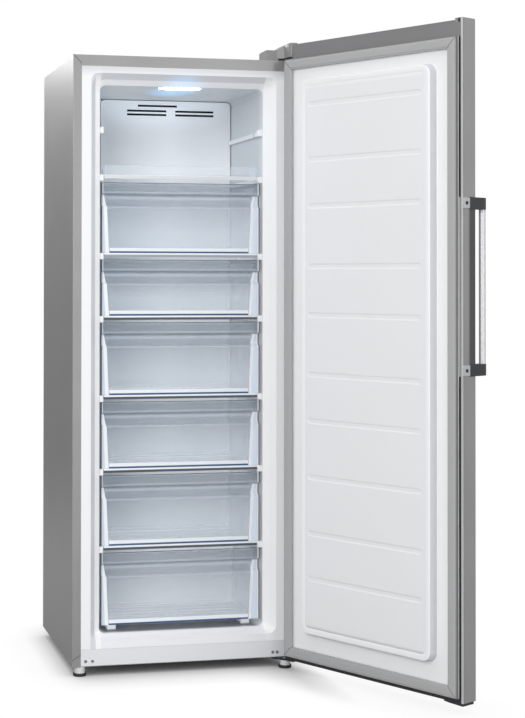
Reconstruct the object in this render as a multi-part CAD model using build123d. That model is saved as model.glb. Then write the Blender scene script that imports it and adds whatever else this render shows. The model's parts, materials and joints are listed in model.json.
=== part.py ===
from build123d import *
import os

# Upright freezer: a tall insulated cabinet with six clear drawers behind one door.
# Millimetres. While a piece is made, X runs across the cabinet from its middle, Y runs
# back from the plane of the front flange and Z runs up from the floor. At the end every
# piece is moved so that the origin is the middle of the whole part's footprint.

# ---- driving dimensions: cabinet ------------------------------------------------------
cabinet_width = 595.0
cabinet_depth = 510.0
cabinet_height = 1582.5
foot_height = 25.0
sheet = 0.8                     # painted steel
wall = 2.5                      # moulded plastic of the liners
return_side = 22.5              # steel folded in at the sides of the front
return_top = 28.5
flange_tuck = 12.0              # liner flange that runs under the steel return
plinth_height = 44.5
plinth_depth = 12.0
kick_screw_insets = (35.5, 53.5, -57.5, -45.5)
kick_screw_rise = 14.0
mitre_seam = 0.5

# mouth of the liner: outer edge, crease and throat of the stepped bevel
mouth_inset = 48.1              # in from the cabinet's sides
mouth_top_drop = 46.0
mouth_bottom_rise = 63.8
mouth_radius = 21.0
crease_inset = 14.0
crease_depth = 20.0
throat_inset = 28.2
throat_bottom_inset = 13.2
throat_depth = 34.0
throat_radius = 15.0
cavity_depth = 440.0
hump_front = 296.0              # the liner steps over the compressor
hump_gap = 3.0                  # under the lowest pair of rails
runner_width = 23.0
runner_side_gap = 39.2
runner_start = 66.0

# ---- shelves, rails and drawers -------------------------------------------------------
drawer_shares = (185.0, 147.0, 190.0, 174.0, 184.0, 189.0)     # of the height that is left, from the top
drawer_gap = 18.0
lowest_drawer_rise = 18.5       # above the liner's floor
drawer_side_gap = 5.7
drawer_front_depth = 42.0       # behind the front flange
drawer_back_gap = 9.0
drawer_wall = 2.2
front_wall = 3.0
front_cheek = 18.0              # depth of the drawer front's side cheeks
lip_height = 28.5
grip_height = 35.5
grip_depth = 12.0
window_inset_left = 16.0
window_inset_right = 22.0
window_inset_bottom = 13.0
tub_drop = 8.0                  # tub rim below the top of its front
tub_draft = 7.0
tub_radius = 16.0
tub_rim = 4.0
tub_rib_count = 5
tub_rib_width = 3.0
tub_rib_height = 1.6
slide_gap = 0.5                 # drawer above the glass that it slides on
glass_thickness = 5.0
glass_side_gap = 1.5
rim_depth = 11.0
rim_height = 10.5
rim_end_gap = 1.0
rail_reach = 9.0
rail_height = 11.0
rail_nose = 12.5
rail_nose_height = 16.0
rail_nose_depth = 8.0
top_shelf_rise = 20.5           # top shelf above the first drawer
guard_height = 25.0
guard_wall = 2.5
guard_return = 40.0
spare_rail_rise = 125.0
top_space = 233.3               # above the top shelf

# ---- air side -------------------------------------------------------------------------
air_space = 78.0                # between the evaporator cover's face and the liner's back
cover_wall = 3.0
duct_width = 62.2               # strip to the left of the cover
cover_step = 7.0
cover_corner = 12.0
slot_height = 4.2
slot_rows = ((43.0, -52.0, 62.0), (57.0, -83.0, 31.0), (57.0, 57.0, 169.0),
             (67.5, -83.0, 31.0), (67.5, 57.0, 169.0))
fan_x = 45.0
fan_drop = 150.0
fan_radius = 46.0
fan_blades = 5
fan_shaft_radius = 2.5
shaft_length = 18.0
hub_radius = 14.0
hub_length = 17.0
running_gap = 0.05
motor_radius = 26.0
motor_length = 26.0
coil_side_gap = 46.2
coil_height = 260.0
coil_drop = 300.0
coil_fins = 14
coil_passes = 5
tube_radius = 4.0
lamp_width = 116.0
lamp_length = 44.0
lamp_start = 44.0
lamp_drop = 4.0

# ---- compressor bay -------------------------------------------------------------------
bay_depth = 168.0
bay_height = 218.0
bay_side = 26.0                 # foam left beside the bay
base_sheet = 2.0
compressor_inset = 177.5
compressor_radius = 74.0
compressor_height = 165.0
compressor_foot = (192.0, 120.0)
foot_plate = 3.0
mount_inset = 14.0
mount_height = 12.0
mount_radius = 9.0
tray_size = (180.0, 124.0, 24.0)
tray_wall = 2.0
condenser_inset = 57.5
condenser_width = 170.0
condenser_depth = 90.0
condenser_sheet = 2.0
condenser_overhang = 9.0
condenser_rows = 5
condenser_height = 150.0
louvre_count = 9

# ---- door -----------------------------------------------------------------------------
door_thickness = 50.0
gasket_thickness = 12.0
gasket_width = 27.5
gasket_insets = (11.0, 5.9)     # in from the door's free edge and from its hinged edge
gasket_foot = 2.5               # a narrow neck holds it off the liner
gasket_neck_inset = 3.0
gasket_bulb = 1.2               # the part that meets the flange
gasket_bulb_inset = 3.2
gasket_gap = 0.3                # left between the gasket and the flange when shut
gasket_bottom = 11.9            # above the cabinet's underside
gasket_top_drop = 4.0
door_rise = 36.0                # the door stands above the cabinet
door_lift = 1.5                 # and ends above its underside
door_corner = 4.0
cap_lip = 6.0
cap_wall = 8.0
hems = (6.1, 3.0)               # steel turned in behind at the free edge and at the hinged edge
grooves = (6.0, 3.6)            # dark strips between the hems and the liner
horn_width = 21.7               # the free edge's top corner stands proud
horn_height = 4.5
# a black shoe hangs below its bottom corner
shoe_slope = ((0.0, 0.0), (0.0, -6.5), (40.6, -4.8), (56.3, -3.0), (58.0, 0.0))
shoe_side_gap = 1.0
shoe_front_gap = 9.0
shoe_back_gap = 0.5
plateau_margin = 80.7
plateau_reach = 12.5            # into the mouth when the door is shut
plateau_bottom = 88.0
plateau_top_drop = 64.5
plateau_draft = 3.0
plateau_radius = 24.0
panel_inset = 14.0
panel_relief = 0.8
rib_end_gap = 17.75
rib_height = 15.0
rib_relief = 1.6
rib_shares = (0.1, 0.1815, 0.2822, 0.3832, 0.4668, 0.5741, 0.6617, 0.7702, 0.8545, 0.9545)
rest_angle = 117.7              # the door stands open, as in the photograph

# ---- hinges, feet, handle -------------------------------------------------------------
hinge_inset = 11.4
hinge_y = -29.8
pin_radius = 4.0
pin_depth = 30.0                # into the door
bush_half = 13.0
arm_right = 8.0
arm_left = 16.0
arm_thickness = 4.0
notch_left = 19.0
notch_front = 22.5
hinge_gap = 0.6                 # between the arms and the door
pin_head_radius = 5.6
screw_radius = 2.5
hinge_screw_depth = 42.0
top_screw_insets = (50.1, 24.1)     # from the hinge's axis
bottom_screw_insets = (31.1, 4.1)
top_plate_reach = 60.1
bottom_plate_reach = 46.1
plate_back = 66.0
hood_front = -45.3
hood_plan = ((-64.1, plate_back), (-81.1, 12.0), (-64.1, 0.3), (-36.1, 0.3), (-18.1, -11.0), (-15.5, -30.0),
             (-12.1, hood_front), (7.9, hood_front), (7.9, plate_back))     # x from the hinge's axis
hood_rise = ((-81.1, 16.0), (-64.1, 27.0), (-36.1, 27.0), (-14.1, 42.0), (7.9, 42.0))     # above the roof
hood_nose_radius = 8.0
hood_lift = 4.6                # nose above the roof, over the hinge's arm
hood_wall = 2.0
foot_pad_radius = 17.0
foot_pad_height = 8.0
foot_sleeve_radius = 14.0
foot_stem_radius = 4.0
foot_gap = 0.3
sleeve_groove_count = 3
left_foot_inset = 22.5
left_foot_depth = 17.0
right_foot_inset = 26.5
right_foot_depth = -8.0
rear_foot_radius = 12.0
rear_foot_inset = 32.0
handle_level = 984.2            # middle of the handle above the cabinet's underside
handle_span = 397.5             # between the middles of its two brackets
handle_radius = 8.0
handle_inset = 12.0             # bar's axis in from the door's edge
handle_standoff = 38.0          # bar's axis in front of the door
spigot_radius = 6.0             # the bar's ends inside the brackets
bracket_height = 28.0
bracket_wall = 3.5
bracket_nose = 9.2              # radius round the bar
plate_start = 12.6              # light foot plate on the door's edge, from the gasket plane
plate_end = 36.6
plate_wall = 2.7
plate_screw_radius = 1.8
strip_rise = 1.0                # light strip in the groove beside the handle

# ---- worked out from the dimensions above -----------------------------------------------
half = cabinet_width / 2
mouth_width = cabinet_width - 2 * mouth_inset
under = foot_height
roof = foot_height + cabinet_height
mouth_floor = under + mouth_bottom_rise
mouth_roof = roof - mouth_top_drop
throat_half = mouth_width / 2 - throat_inset
drawer_width = 2 * (throat_half - drawer_side_gap)
throat_floor = mouth_floor + throat_bottom_inset
throat_roof = mouth_roof - throat_inset
drawer_stack = (throat_roof - throat_floor - top_space - top_shelf_rise - lowest_drawer_rise
                - (len(drawer_shares) - 1) * drawer_gap)
drawer_heights = [drawer_stack * share / sum(drawer_shares) for share in drawer_shares]
drawer_floors = []              # underside of each drawer, from the top down
level = throat_floor + lowest_drawer_rise
for height in reversed(drawer_heights):
    drawer_floors.insert(0, level)
    level += height + drawer_gap
runner_top = drawer_floors[-1] - slide_gap
top_shelf = drawer_floors[0] + drawer_heights[0] + top_shelf_rise
shelf_tops = [top_shelf] + [floor - slide_gap for floor in drawer_floors[:-1]]
hump_top = shelf_tops[-1] - glass_thickness - rail_height - hump_gap
cover_depth = cavity_depth - air_space
cover_left = duct_width - throat_half
plateau_width = cabinet_width - 2 * plateau_margin
plateau_height = cabinet_height - plateau_bottom - plateau_top_drop
rib_levels = [under + plateau_bottom + plateau_height * share for share in rib_shares]
hinge_x = half - hinge_inset
top_screw_spots = [(hinge_x - inset, hinge_screw_depth) for inset in top_screw_insets]
bottom_screw_spots = [(hinge_x - inset, hinge_screw_depth) for inset in bottom_screw_insets]
left_foot = (left_foot_inset - half, left_foot_depth)
right_foot = (half - right_foot_inset, right_foot_depth)
kick_screw_x = [inset - half if inset > 0 else half + inset for inset in kick_screw_insets]
compressor_x = compressor_inset - half
door_back = -gasket_thickness
door_front = door_back - door_thickness
door_bottom = under + door_lift
door_top = roof + door_rise
kick_screw_z = under + kick_screw_rise
rear_foot_x = half - rear_foot_inset
rear_foot_y = cabinet_depth - rear_foot_inset
lower_arm_bottom = under - arm_thickness
cover_back = cover_depth + cover_step + cover_wall
fan_z = throat_roof - fan_drop
plate_screw = (plate_start + plate_end) / 2
notch_floor = roof - hinge_gap
door_inner_top = roof - gasket_top_drop + 0.5
door_inner_bottom = under + gasket_bottom - 0.5
bar_x = handle_inset - half
bar_y = door_front - handle_standoff
bracket_levels = [under + handle_level + s * handle_span / 2 for s in (1, -1)]
nose_front = drawer_front_depth - 3.0
nose_back = nose_front + rail_nose_depth + 8.0
drawer_half = drawer_width / 2
hem_x = (hems[0] - half, half - hems[1])
liner_x = (hem_x[0] + grooves[0], hem_x[1] - grooves[1])
strip_x = (hem_x[0] + 0.1, hem_x[0] + 4.6)


def block(x, y, z):
    """A box from three pairs of limits."""
    return Pos(sum(x) / 2, sum(y) / 2, sum(z) / 2) * Box(x[1] - x[0], y[1] - y[0], z[1] - z[0])


def facing(y, x=0.0, z=0.0):
    """A plane across the cabinet whose normal points back."""
    return Plane(origin=(x, y, z), x_dir=(1, 0, 0), z_dir=(0, 1, 0))


def panel(x, y, z, radius):
    """A plate that faces the front, with rounded corners."""
    outline = RectangleRounded(x[1] - x[0], z[1] - z[0], radius)
    return extrude(facing(y[0], sum(x) / 2, sum(z) / 2) * outline, y[1] - y[0])


def funnel(front, back):
    """A straight-sided loft between two rounded rectangles: (y, half width, z0, z1, radius)."""
    faces = []
    for y, half_width, low, high, radius in (front, back):
        outline = RectangleRounded(2 * half_width, high - low, radius)
        faces.append(facing(y, 0, (low + high) / 2) * outline)
    return loft(faces, ruled=True)


def rod(point, radius, length, axis=(0, 0, 1)):
    """A cylinder that starts at a point and runs along an axis."""
    return extrude(Plane(origin=point, z_dir=axis) * Circle(radius), length)


def side_profile(points, x):
    """A prism across the cabinet from a list of (y, z) points."""
    face = make_face(Polyline([(x[0], y, z) for y, z in points], close=True))
    return extrude(face, x[1] - x[0], dir=(1, 0, 0))


def plan_profile(points, z):
    """A prism up from a list of (x, y) points."""
    face = make_face(Polyline([(x, y, z[0]) for x, y in points], close=True))
    return extrude(face, z[1] - z[0], dir=(0, 0, 1))


def both_sides(shape):
    """A piece and its mirror image on the other side of the cabinet."""
    return [shape, mirror(shape, Plane.YZ)]


# ---- cabinet ---------------------------------------------------------------------------
def cavity(grow, front):
    """The space inside the liner, grown by a wall, from a front plane to its back."""
    outer = (mouth_width / 2 + grow, mouth_floor - grow, mouth_roof + grow, mouth_radius + grow)
    crease_rise = throat_bottom_inset * crease_inset / throat_inset
    crease = (mouth_width / 2 - crease_inset + grow, mouth_floor + crease_rise - grow,
              mouth_roof - crease_inset + grow, (mouth_radius + throat_radius) / 2 + grow)
    throat = (throat_half + grow, throat_floor - grow, throat_roof + grow, throat_radius + grow)
    shape = panel((-outer[0], outer[0]), (front, sheet), outer[1:3], outer[3]) if front < sheet else None
    bevel = funnel((sheet, *outer), (crease_depth, *crease))
    shape = shape + bevel if shape else bevel
    shape += funnel((crease_depth, *crease), (throat_depth, *throat))
    back = cavity_depth + grow
    shape += panel((-throat[0], throat[0]), (throat_depth, back), throat[1:3], throat[3])
    hump = block((-half, half), (hump_front + grow, back + wall), (throat[1] - wall, hump_top - grow))
    return shape - hump


def inner_liner():
    flange_half = half - return_side + flange_tuck
    flange = block((-flange_half, flange_half), (sheet, sheet + wall),
                   (under + plinth_height, roof - return_top + flange_tuck))
    shape = flange + cavity(wall, sheet) - cavity(0, -sheet)
    for side in (-1, 1):
        middle = side * (throat_half - runner_side_gap)
        shape += block((middle - runner_width / 2, middle + runner_width / 2),
                       (runner_start, hump_front), (throat_floor, runner_top))
    return shape


def bay(grow=0.0):
    edge = half - sheet - bay_side + grow
    return block((-edge, edge), (cabinet_depth - sheet - bay_depth - grow, cabinet_depth - sheet),
                 (under + base_sheet, under + base_sheet + bay_height + grow))


def insulation_foam():
    shape = block((sheet - half, half - sheet), (sheet + wall, cabinet_depth - sheet),
                  (under + base_sheet, roof - sheet))
    shape -= block((-half, half), (0, plinth_depth + 2), (under, under + plinth_height))
    return shape - cavity(wall, sheet) - bay()


def outer_cabinet():
    """One sheet: two sides and the top, with mitred returns round the front."""
    shell = block((-half, half), (0, cabinet_depth - sheet), (under, roof))
    shell -= block((sheet - half, half - sheet), (sheet, cabinet_depth), (under - 1, roof - sheet))
    window = block((return_side - half, half - return_side), (-1, sheet + 1), (under - 1, roof - return_top))
    shell -= window
    for side in (-1, 1):
        line = Line((side * half, 0, roof), (side * (half - return_side), 0, roof - return_top))
        cut = extrude(Plane(origin=line @ 0.5, z_dir=(0, 1, 0), x_dir=line % 0.5)
                      * Rectangle(line.length + 6, mitre_seam), sheet / 2)
        shell -= cut
    return shell


def back_panel():
    return block((-half, half), (cabinet_depth - sheet, cabinet_depth),
                 (under + base_sheet + bay_height, roof))


def base_tray():
    plate = block((sheet - half, half - sheet), (sheet + wall, cabinet_depth - sheet),
                  (under, under + base_sheet))
    plate -= rod((*left_foot, under - 1), foot_stem_radius + foot_gap, base_sheet + 2)
    for hole in both_sides(rod((rear_foot_x, rear_foot_y, under - 1), foot_stem_radius, base_sheet + 2)):
        plate -= hole
    return plate


def kick_plate():
    """A shallow moulded strip with lips above and below."""
    edge = half - return_side
    top = under + plinth_height - 0.4
    shape = block((-edge, edge), (sheet, sheet + wall), (under + base_sheet, top))
    shape += block((-edge, edge), (sheet, plinth_depth), (under + base_sheet, under + base_sheet + wall))
    shape += block((-edge, edge), (sheet + wall, plinth_depth), (top - wall, top))
    for x in kick_screw_x:
        shape -= rod((x, 0, kick_screw_z), 2.0, plinth_depth + 2, (0, 1, 0))
    return shape


def kick_screws():
    return [rod((x, 0, kick_screw_z), 4.0, sheet, (0, 1, 0))
            + rod((x, sheet, kick_screw_z), 2.0, 10.0, (0, 1, 0)) for x in kick_screw_x]


# ---- shelves and rails -----------------------------------------------------------------
shelf_back = cover_depth - 8.0
rim_half = throat_half - rail_nose - rim_end_gap


def shelf_glass(top):
    edge = throat_half - glass_side_gap
    return panel_flat((-edge, edge), (drawer_front_depth + 6.0, shelf_back), (top - glass_thickness, top))


def panel_flat(x, y, z):
    """A level plate whose front corners are notched round the rails' noses."""
    plate = block(x, y, z)
    nose = block((throat_half - rail_nose - 0.5, throat_half), (y[0] - 1, nose_back + 0.5),
                 (z[0] - 1, z[1] + 1))
    for notch in both_sides(nose):
        plate -= notch
    return plate


def shelf_rim(top):
    """The white moulding that grips the front edge of the glass."""
    front = drawer_front_depth - 2.0
    back = front + rim_depth + 8.0
    rim = block((-rim_half, rim_half), (front, back), (top - rim_height, top))
    rim -= block((-half, half), (drawer_front_depth + 6.0, back + 1), (top - glass_thickness, top + 1))
    hollow = block((-rim_half + 3, rim_half - 3), (front + 3, back + 1),
                   (top - rim_height - 1, top - glass_thickness - 2))
    edge = rim.edges().filter_by(Axis.X).sort_by(lambda e: e.center().Y - e.center().Z)[0]
    return fillet(edge, 2.0) - hollow


def shelf_rail(top):
    """A ledge along the side wall with a rounded nose at the front."""
    reach = (throat_half - rail_reach, throat_half)
    under_glass = top - glass_thickness
    rail = block(reach, (nose_back, shelf_back), (under_glass - rail_height, under_glass))
    nose_top = top - 0.6
    nose = block((throat_half - rail_nose, throat_half), (nose_front, nose_back),
                 (nose_top - rail_nose_height, nose_top))
    nose = fillet(nose.edges().filter_by(Axis.Z).group_by(Axis.X)[0].group_by(Axis.Y)[0], 4.0)
    return rail + nose


def shelf_rails():
    rails = []
    for top in shelf_tops + [top_shelf + spare_rail_rise]:
        rails += both_sides(shelf_rail(top))
    return rails


def shelf_guard():
    """A clear lip along the front of the top shelf, turned back at both ends."""
    z = (top_shelf, top_shelf + guard_height)
    front = drawer_front_depth + 2.0
    guard = block((-rim_half, rim_half), (front, front + guard_wall), z)
    end = block((rim_half - guard_wall, rim_half), (front, front + guard_return), z)
    foot = block((-rim_half, rim_half), (front, front + 9.0), (top_shelf, top_shelf + 2.0))
    for part in both_sides(end):
        guard += part
    return guard + foot


# ---- drawers ---------------------------------------------------------------------------
def drawer_front(floor, height):
    """A clear front: a lip to pull on, a pocket for the fingers and a framed window."""
    y0 = drawer_front_depth
    top = floor + height
    lip = top - lip_height
    pocket = lip - grip_height
    line = [(y0, top), (y0, lip), (y0 + grip_depth - 2, lip - 5), (y0 + grip_depth, pocket + 7),
            (y0 + 2, pocket), (y0 + 2, floor)]
    skin = [(y + front_wall, z) for y, z in reversed(line)]
    shape = side_profile(line + skin, (-drawer_half, drawer_half))
    cheek_back = y0 + front_cheek
    cheek = side_profile(line + [(cheek_back, floor), (cheek_back, top)],
                         (drawer_half - front_wall, drawer_half))
    for part in both_sides(cheek):
        shape += part
    window = panel((-drawer_half + window_inset_left, drawer_half - window_inset_right),
                   (y0, y0 + 3.2), (floor + window_inset_bottom, pocket - 2.5), 6.0)
    return shape - window


def drawer_back(floor):
    return (hump_front if floor < hump_top else shelf_back) - drawer_back_gap


def tub_body(floor, height, grow):
    """The tub's outside, or its inside where grow is minus the wall."""
    y = (drawer_front_depth + front_cheek, drawer_back(floor))
    middle = sum(y) / 2
    low = floor - min(grow, 0.0)
    outlines = []
    for z, draft in ((low, tub_draft), (floor + height - tub_drop, 0.0)):
        width = drawer_width - 2 * tub_rim - 2 * draft + 2 * grow
        length = y[1] - y[0] - 2 * tub_rim - 2 * draft + 2 * grow
        outlines.append(Pos(0, middle, z) * RectangleRounded(width, length, tub_radius + grow))
    return loft(outlines, ruled=True)


def drawer_tub(floor, height):
    """An open moulded tub with a turned-out rim and ribs across its floor."""
    y = (drawer_front_depth + front_cheek, drawer_back(floor))
    top = floor + height - tub_drop
    rim = Pos(0, sum(y) / 2, top - 3.0) * RectangleRounded(drawer_width, y[1] - y[0], tub_radius + tub_rim)
    shape = tub_body(floor, height, 0.0) + extrude(rim, 3.0)
    shape -= tub_body(floor, height, -drawer_wall)
    inner = drawer_width / 2 - tub_rim - tub_draft - drawer_wall - tub_radius
    for i in range(tub_rib_count):
        at = y[0] + (y[1] - y[0]) * (i + 1) / (tub_rib_count + 1)
        shape += block((-inner, inner), (at - tub_rib_width / 2, at + tub_rib_width / 2),
                       (floor + drawer_wall, floor + drawer_wall + tub_rib_height))
    return shape


# ---- air side --------------------------------------------------------------------------
def evaporator_cover():
    """The white rear panel with its air slots, and the duct strip beside it."""
    bottom = hump_top
    top = throat_roof - 2.0
    right = throat_half - 2.0
    face = panel((cover_left, right), (cover_depth, cover_back), (bottom, top), cover_corner)
    face -= panel((cover_left + cover_wall, right - cover_wall), (cover_depth + cover_wall, cavity_depth),
                  (bottom + cover_wall, top - cover_wall), cover_corner - cover_wall)
    strip = block((-throat_half, cover_left + cover_wall), (cover_back - cover_wall, cover_back),
                  (bottom, throat_roof))
    strip &= cavity(0, sheet)
    shape = face + strip
    for drop, left, end in slot_rows:
        z = throat_roof - drop
        shape -= block((left, end), (cover_depth - 1, cavity_depth),
                       (z - slot_height / 2, z + slot_height / 2))
    return shape


def evaporator_coil():
    """Fins on a tube that passes to and fro across them."""
    top = throat_roof - coil_drop
    y = (cover_back, cavity_depth)
    pitch = coil_height / coil_passes
    spread = throat_half - coil_side_gap
    middle = sum(y) / 2
    shape = None
    levels = [top - pitch * (i + 0.5) for i in range(coil_passes)]
    for z in levels:
        run = rod((-spread, middle, z), tube_radius, 2 * spread, (1, 0, 0))
        shape = run if shape is None else shape + run
    for i in range(coil_passes - 1):
        side = 1 if i % 2 else -1
        z = (levels[i] + levels[i + 1]) / 2
        bend = Plane(origin=(side * spread, middle, levels[i]), z_dir=(1, 0, 0)) * Circle(tube_radius)
        shape += revolve(bend, axis=Axis((side * spread, middle, z), (0, side, 0)), revolution_arc=180)
    for i in range(coil_fins):
        x = -spread + 8 + (2 * spread - 16) * i / (coil_fins - 1)
        shape += block((x - 0.6, x + 0.6), (y[0] + 4, y[1] - 4), (top - coil_height, top))
    for x in (-spread + 2, spread - 2):
        shape += block((x - 1, x + 1), y, (top - coil_height, top))
    return shape


def fan_motor():
    front = cavity_depth - motor_length
    shape = rod((fan_x, front, fan_z), motor_radius, motor_length, (0, 1, 0))
    shape += rod((fan_x, front - shaft_length, fan_z), fan_shaft_radius, shaft_length, (0, 1, 0))
    ears = block((fan_x - 40, fan_x + 40), (cavity_depth - 4, cavity_depth), (fan_z - 10, fan_z + 10))
    return shape + ears


def fan():
    """Pitched blades round a hub that is bored for the motor's shaft."""
    front = cavity_depth - motor_length - shaft_length - 2
    shape = rod((fan_x, front, fan_z), hub_radius, hub_length, (0, 1, 0))
    blade = Box(fan_radius - hub_radius + 6, 1.6, 20.0)
    middle = Pos((fan_x + (fan_radius + hub_radius) / 2, front + hub_length / 2, fan_z))
    blade = middle * Rot(40, 0, 0) * blade
    tips = rod((fan_x, front - hub_length, fan_z), fan_radius, 3 * hub_length, (0, 1, 0))
    for i in range(fan_blades):
        shape += blade.rotate(Axis((fan_x, 0, fan_z), (0, 1, 0)), 360 * i / fan_blades) & tips
    return shape - rod((fan_x, front + 2, fan_z), fan_shaft_radius + running_gap, shaft_length, (0, 1, 0))


def lamp_lens():
    outline = RectangleRounded(lamp_width, lamp_length, 20.0)
    y = lamp_start + lamp_length / 2
    lens = extrude(Plane(origin=(0, y, throat_roof - lamp_drop)) * outline, lamp_drop)
    return chamfer(lens.faces().sort_by(Axis.Z)[0].edges(), 2.0)


# ---- compressor bay --------------------------------------------------------------------
bay_floor = under + base_sheet
bay_middle = cabinet_depth - sheet - bay_depth / 2
mount_reach = [size / 2 - mount_inset for size in compressor_foot]
mount_spots = [(compressor_x + sx * mount_reach[0], bay_middle + sy * mount_reach[1])
               for sx in (-1, 1) for sy in (-1, 1)]


def compressor():
    """A domed hermetic can with its weld seam, on a foot plate."""
    foot = bay_floor + mount_height
    can_bottom = foot + foot_plate
    shape = Pos(compressor_x, bay_middle, foot + foot_plate / 2) * Box(*compressor_foot, foot_plate)
    r = compressor_radius
    h = compressor_height
    section = Plane(origin=(compressor_x, bay_middle, can_bottom), x_dir=(1, 0, 0), z_dir=(0, -1, 0))
    with BuildLine(section) as side:
        Polyline((0, 0), (r * 0.7, 0))
        SagittaArc((r * 0.7, 0), (r, r * 0.4), r * -0.095)
        Polyline((r, r * 0.4), (r, h * 0.52), (r * 1.05, h * 0.52), (r * 1.05, h * 0.56), (r, h * 0.56),
                 (r, h - r * 0.54))
        SagittaArc((r, h - r * 0.54), (r * 0.54, h), r * -0.15)
        Polyline((r * 0.54, h), (0, h), (0, 0))
    shape += revolve(make_face(side.line), axis=Axis((compressor_x, bay_middle, 0), (0, 0, 1)))
    for x, y in mount_spots:
        shape -= rod((x, y, foot - 1), mount_radius * 0.55, foot_plate + 3)
    return shape


def compressor_mounts():
    """Rubber grommets, each with a neck through the foot plate."""
    mounts = []
    for x, y in mount_spots:
        grommet = rod((x, y, bay_floor), mount_radius, mount_height)
        mounts.append(grommet + rod((x, y, bay_floor), mount_radius * 0.53, mount_height + 2 * foot_plate))
    return mounts


def relay_box():
    """The starting relay's housing, clipped to the side of the can."""
    side = compressor_x + compressor_radius
    foot = bay_floor + mount_height + foot_plate
    box = block((side - 6.0, side + 26.0), (bay_middle - 24, bay_middle + 24),
                (foot + compressor_height * 0.2, foot + compressor_height * 0.47))
    return box - compressor()


def drip_tray():
    """A shallow tray on top of the compressor, where the defrost water dries off."""
    bottom = bay_floor + mount_height + foot_plate + compressor_height
    width, depth, height = tray_size
    tray = Pos(compressor_x, bay_middle, bottom + height / 2) * Box(width, depth, height)
    inside = Box(width - 2 * tray_wall, depth - 2 * tray_wall, height)
    return tray - Pos(compressor_x, bay_middle, bottom + tray_wall + height / 2) * inside


def condenser():
    """Tubes that run through two end plates, which stand on the base."""
    x = (half - condenser_inset - condenser_width, half - condenser_inset)
    plates = [Pos(end, bay_middle, bay_floor + condenser_height / 2)
              * Box(condenser_sheet, condenser_depth, condenser_height) for end in x]
    shape = plates[0] + plates[1]
    for i in range(condenser_rows):
        z = bay_floor + condenser_height * (i + 0.7) / condenser_rows
        for side in (-1, 1):
            start = (x[0] - condenser_overhang, bay_middle + side * condenser_depth * 0.28, z)
            shape += rod(start, tube_radius, condenser_width + 2 * condenser_overhang, (1, 0, 0))
    return shape


def bay_cover():
    """The rear cover of the compressor bay, with louvres for the air."""
    edge = half - sheet - bay_side
    cover = block((-half, half), (cabinet_depth - sheet, cabinet_depth + 0.7),
                  (under, under + base_sheet + bay_height - 0.3))
    for side in (-1, 1):
        for i in range(louvre_count):
            z = under + 40.0 + 18.0 * i
            x = sorted((side * 40.0, side * (edge - 30.0)))
            cover -= block(x, (cabinet_depth - sheet - 1, cabinet_depth + 2), (z, z + 7.0))
    return cover


# ---- door, made shut --------------------------------------------------------------------
def hinge_notch(floor):
    """The corner of the door that is cut away round the hinge arm."""
    return block((hinge_x - notch_left, half + 1), (hinge_y - notch_front, 0), (floor, door_top + 1))


def door_outline(grow=0.0):
    """The door's plan, rounded at its two front edges."""
    plan = Rectangle(cabinet_width + 2 * grow, door_thickness + 2 * grow)
    plan = Pos(0, (door_front + door_back) / 2) * plan
    corners = plan.vertices().group_by(Axis.Y)[0]
    return fillet(corners, door_corner + grow)


horn_top = door_top + horn_height


def free_end(z, reach, grow=0.0):
    """The end of the door beside its free edge, as far as it reaches towards the hinges."""
    whole = extrude(Pos(0, 0, z[0]) * door_outline(grow), z[1] - z[0])
    return whole & block((-half, reach - half), (door_front, door_back), z)


def door_panel():
    """Steel folded round the front and both edges, with a narrow hem behind."""
    z = (door_bottom + cap_lip, door_top - cap_lip)
    shape = extrude(Pos(0, 0, z[0]) * door_outline(), z[1] - z[0])
    shape -= extrude(Pos(0, 0, z[0] - 1) * door_outline(-sheet), z[1] - z[0] + 2)
    shape -= block(hem_x, (door_back - sheet - 1, door_back + 1), (z[0] - 1, z[1] + 1))
    shape += free_end((z[1], horn_top - sheet), horn_width) - free_end((z[1], horn_top - sheet), half, -sheet)
    shape += free_end((door_bottom, z[0]), hems[0]) - free_end((door_bottom, z[0]), half, -sheet)
    return shape - hinge_notch(notch_floor)


def pin_bush(z):
    return block((hinge_x - bush_half, half - sheet), (hinge_y - bush_half, door_back - cap_wall), z)


def pin_hole(z):
    return rod((hinge_x, hinge_y, z[0]), pin_radius + running_gap, z[1] - z[0])


def door_top_cap():
    """The top of the door, with a horn inside the steel at its free corner and a lid on it."""
    low = door_top - cap_lip
    shape = extrude(Pos(0, 0, low) * door_outline(), cap_lip) - free_end((low, door_top), horn_width)
    shape += free_end((low, horn_top - sheet), horn_width, -sheet)
    shape += free_end((horn_top - sheet, horn_top), horn_width)
    edge = half - sheet
    z = (door_inner_top, low)
    shape += block((-edge, edge), (door_back - cap_wall, door_back - sheet), z)
    shape += block(hem_x, (door_back - sheet, door_back), z)
    shape -= hinge_notch(notch_floor)
    shape += pin_bush((notch_floor - pin_depth - 4, notch_floor))
    return shape - pin_hole((notch_floor - pin_depth, notch_floor + 1))


def door_bottom_cap():
    """The bottom of the door, with a sloping black shoe under its free corner."""
    low = door_bottom + cap_lip
    shape = extrude(Pos(0, 0, door_bottom) * door_outline(), cap_lip)
    shape -= free_end((door_bottom, low), hems[0]) - free_end((door_bottom, low), half, -sheet)
    front = door_front + shoe_front_gap
    outer = shoe_side_gap - half
    side = make_face(Polyline([(outer + x, front, door_bottom + z) for x, z in shoe_slope], close=True))
    shape += extrude(side, door_back - shoe_back_gap - front, dir=(0, 1, 0))
    edge = half - sheet
    shape += block((-edge, edge), (door_back - cap_wall, door_back - sheet), (low, door_inner_bottom))
    shape += block(hem_x, (door_back - sheet, door_back), (low, door_inner_bottom))
    shape += pin_bush((low, door_bottom + pin_depth + 4))
    return shape - pin_hole((door_bottom - 1, door_bottom + pin_depth))


def door_side_trim():
    """The dark strips that close the grooves behind the steel's hems."""
    y = (door_back - cap_wall, door_back - sheet - 0.2)
    z = (door_inner_bottom, door_inner_top)
    return [block((sheet - half, liner_x[0]), y, z), block((liner_x[1], half - sheet), y, z)]


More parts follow.
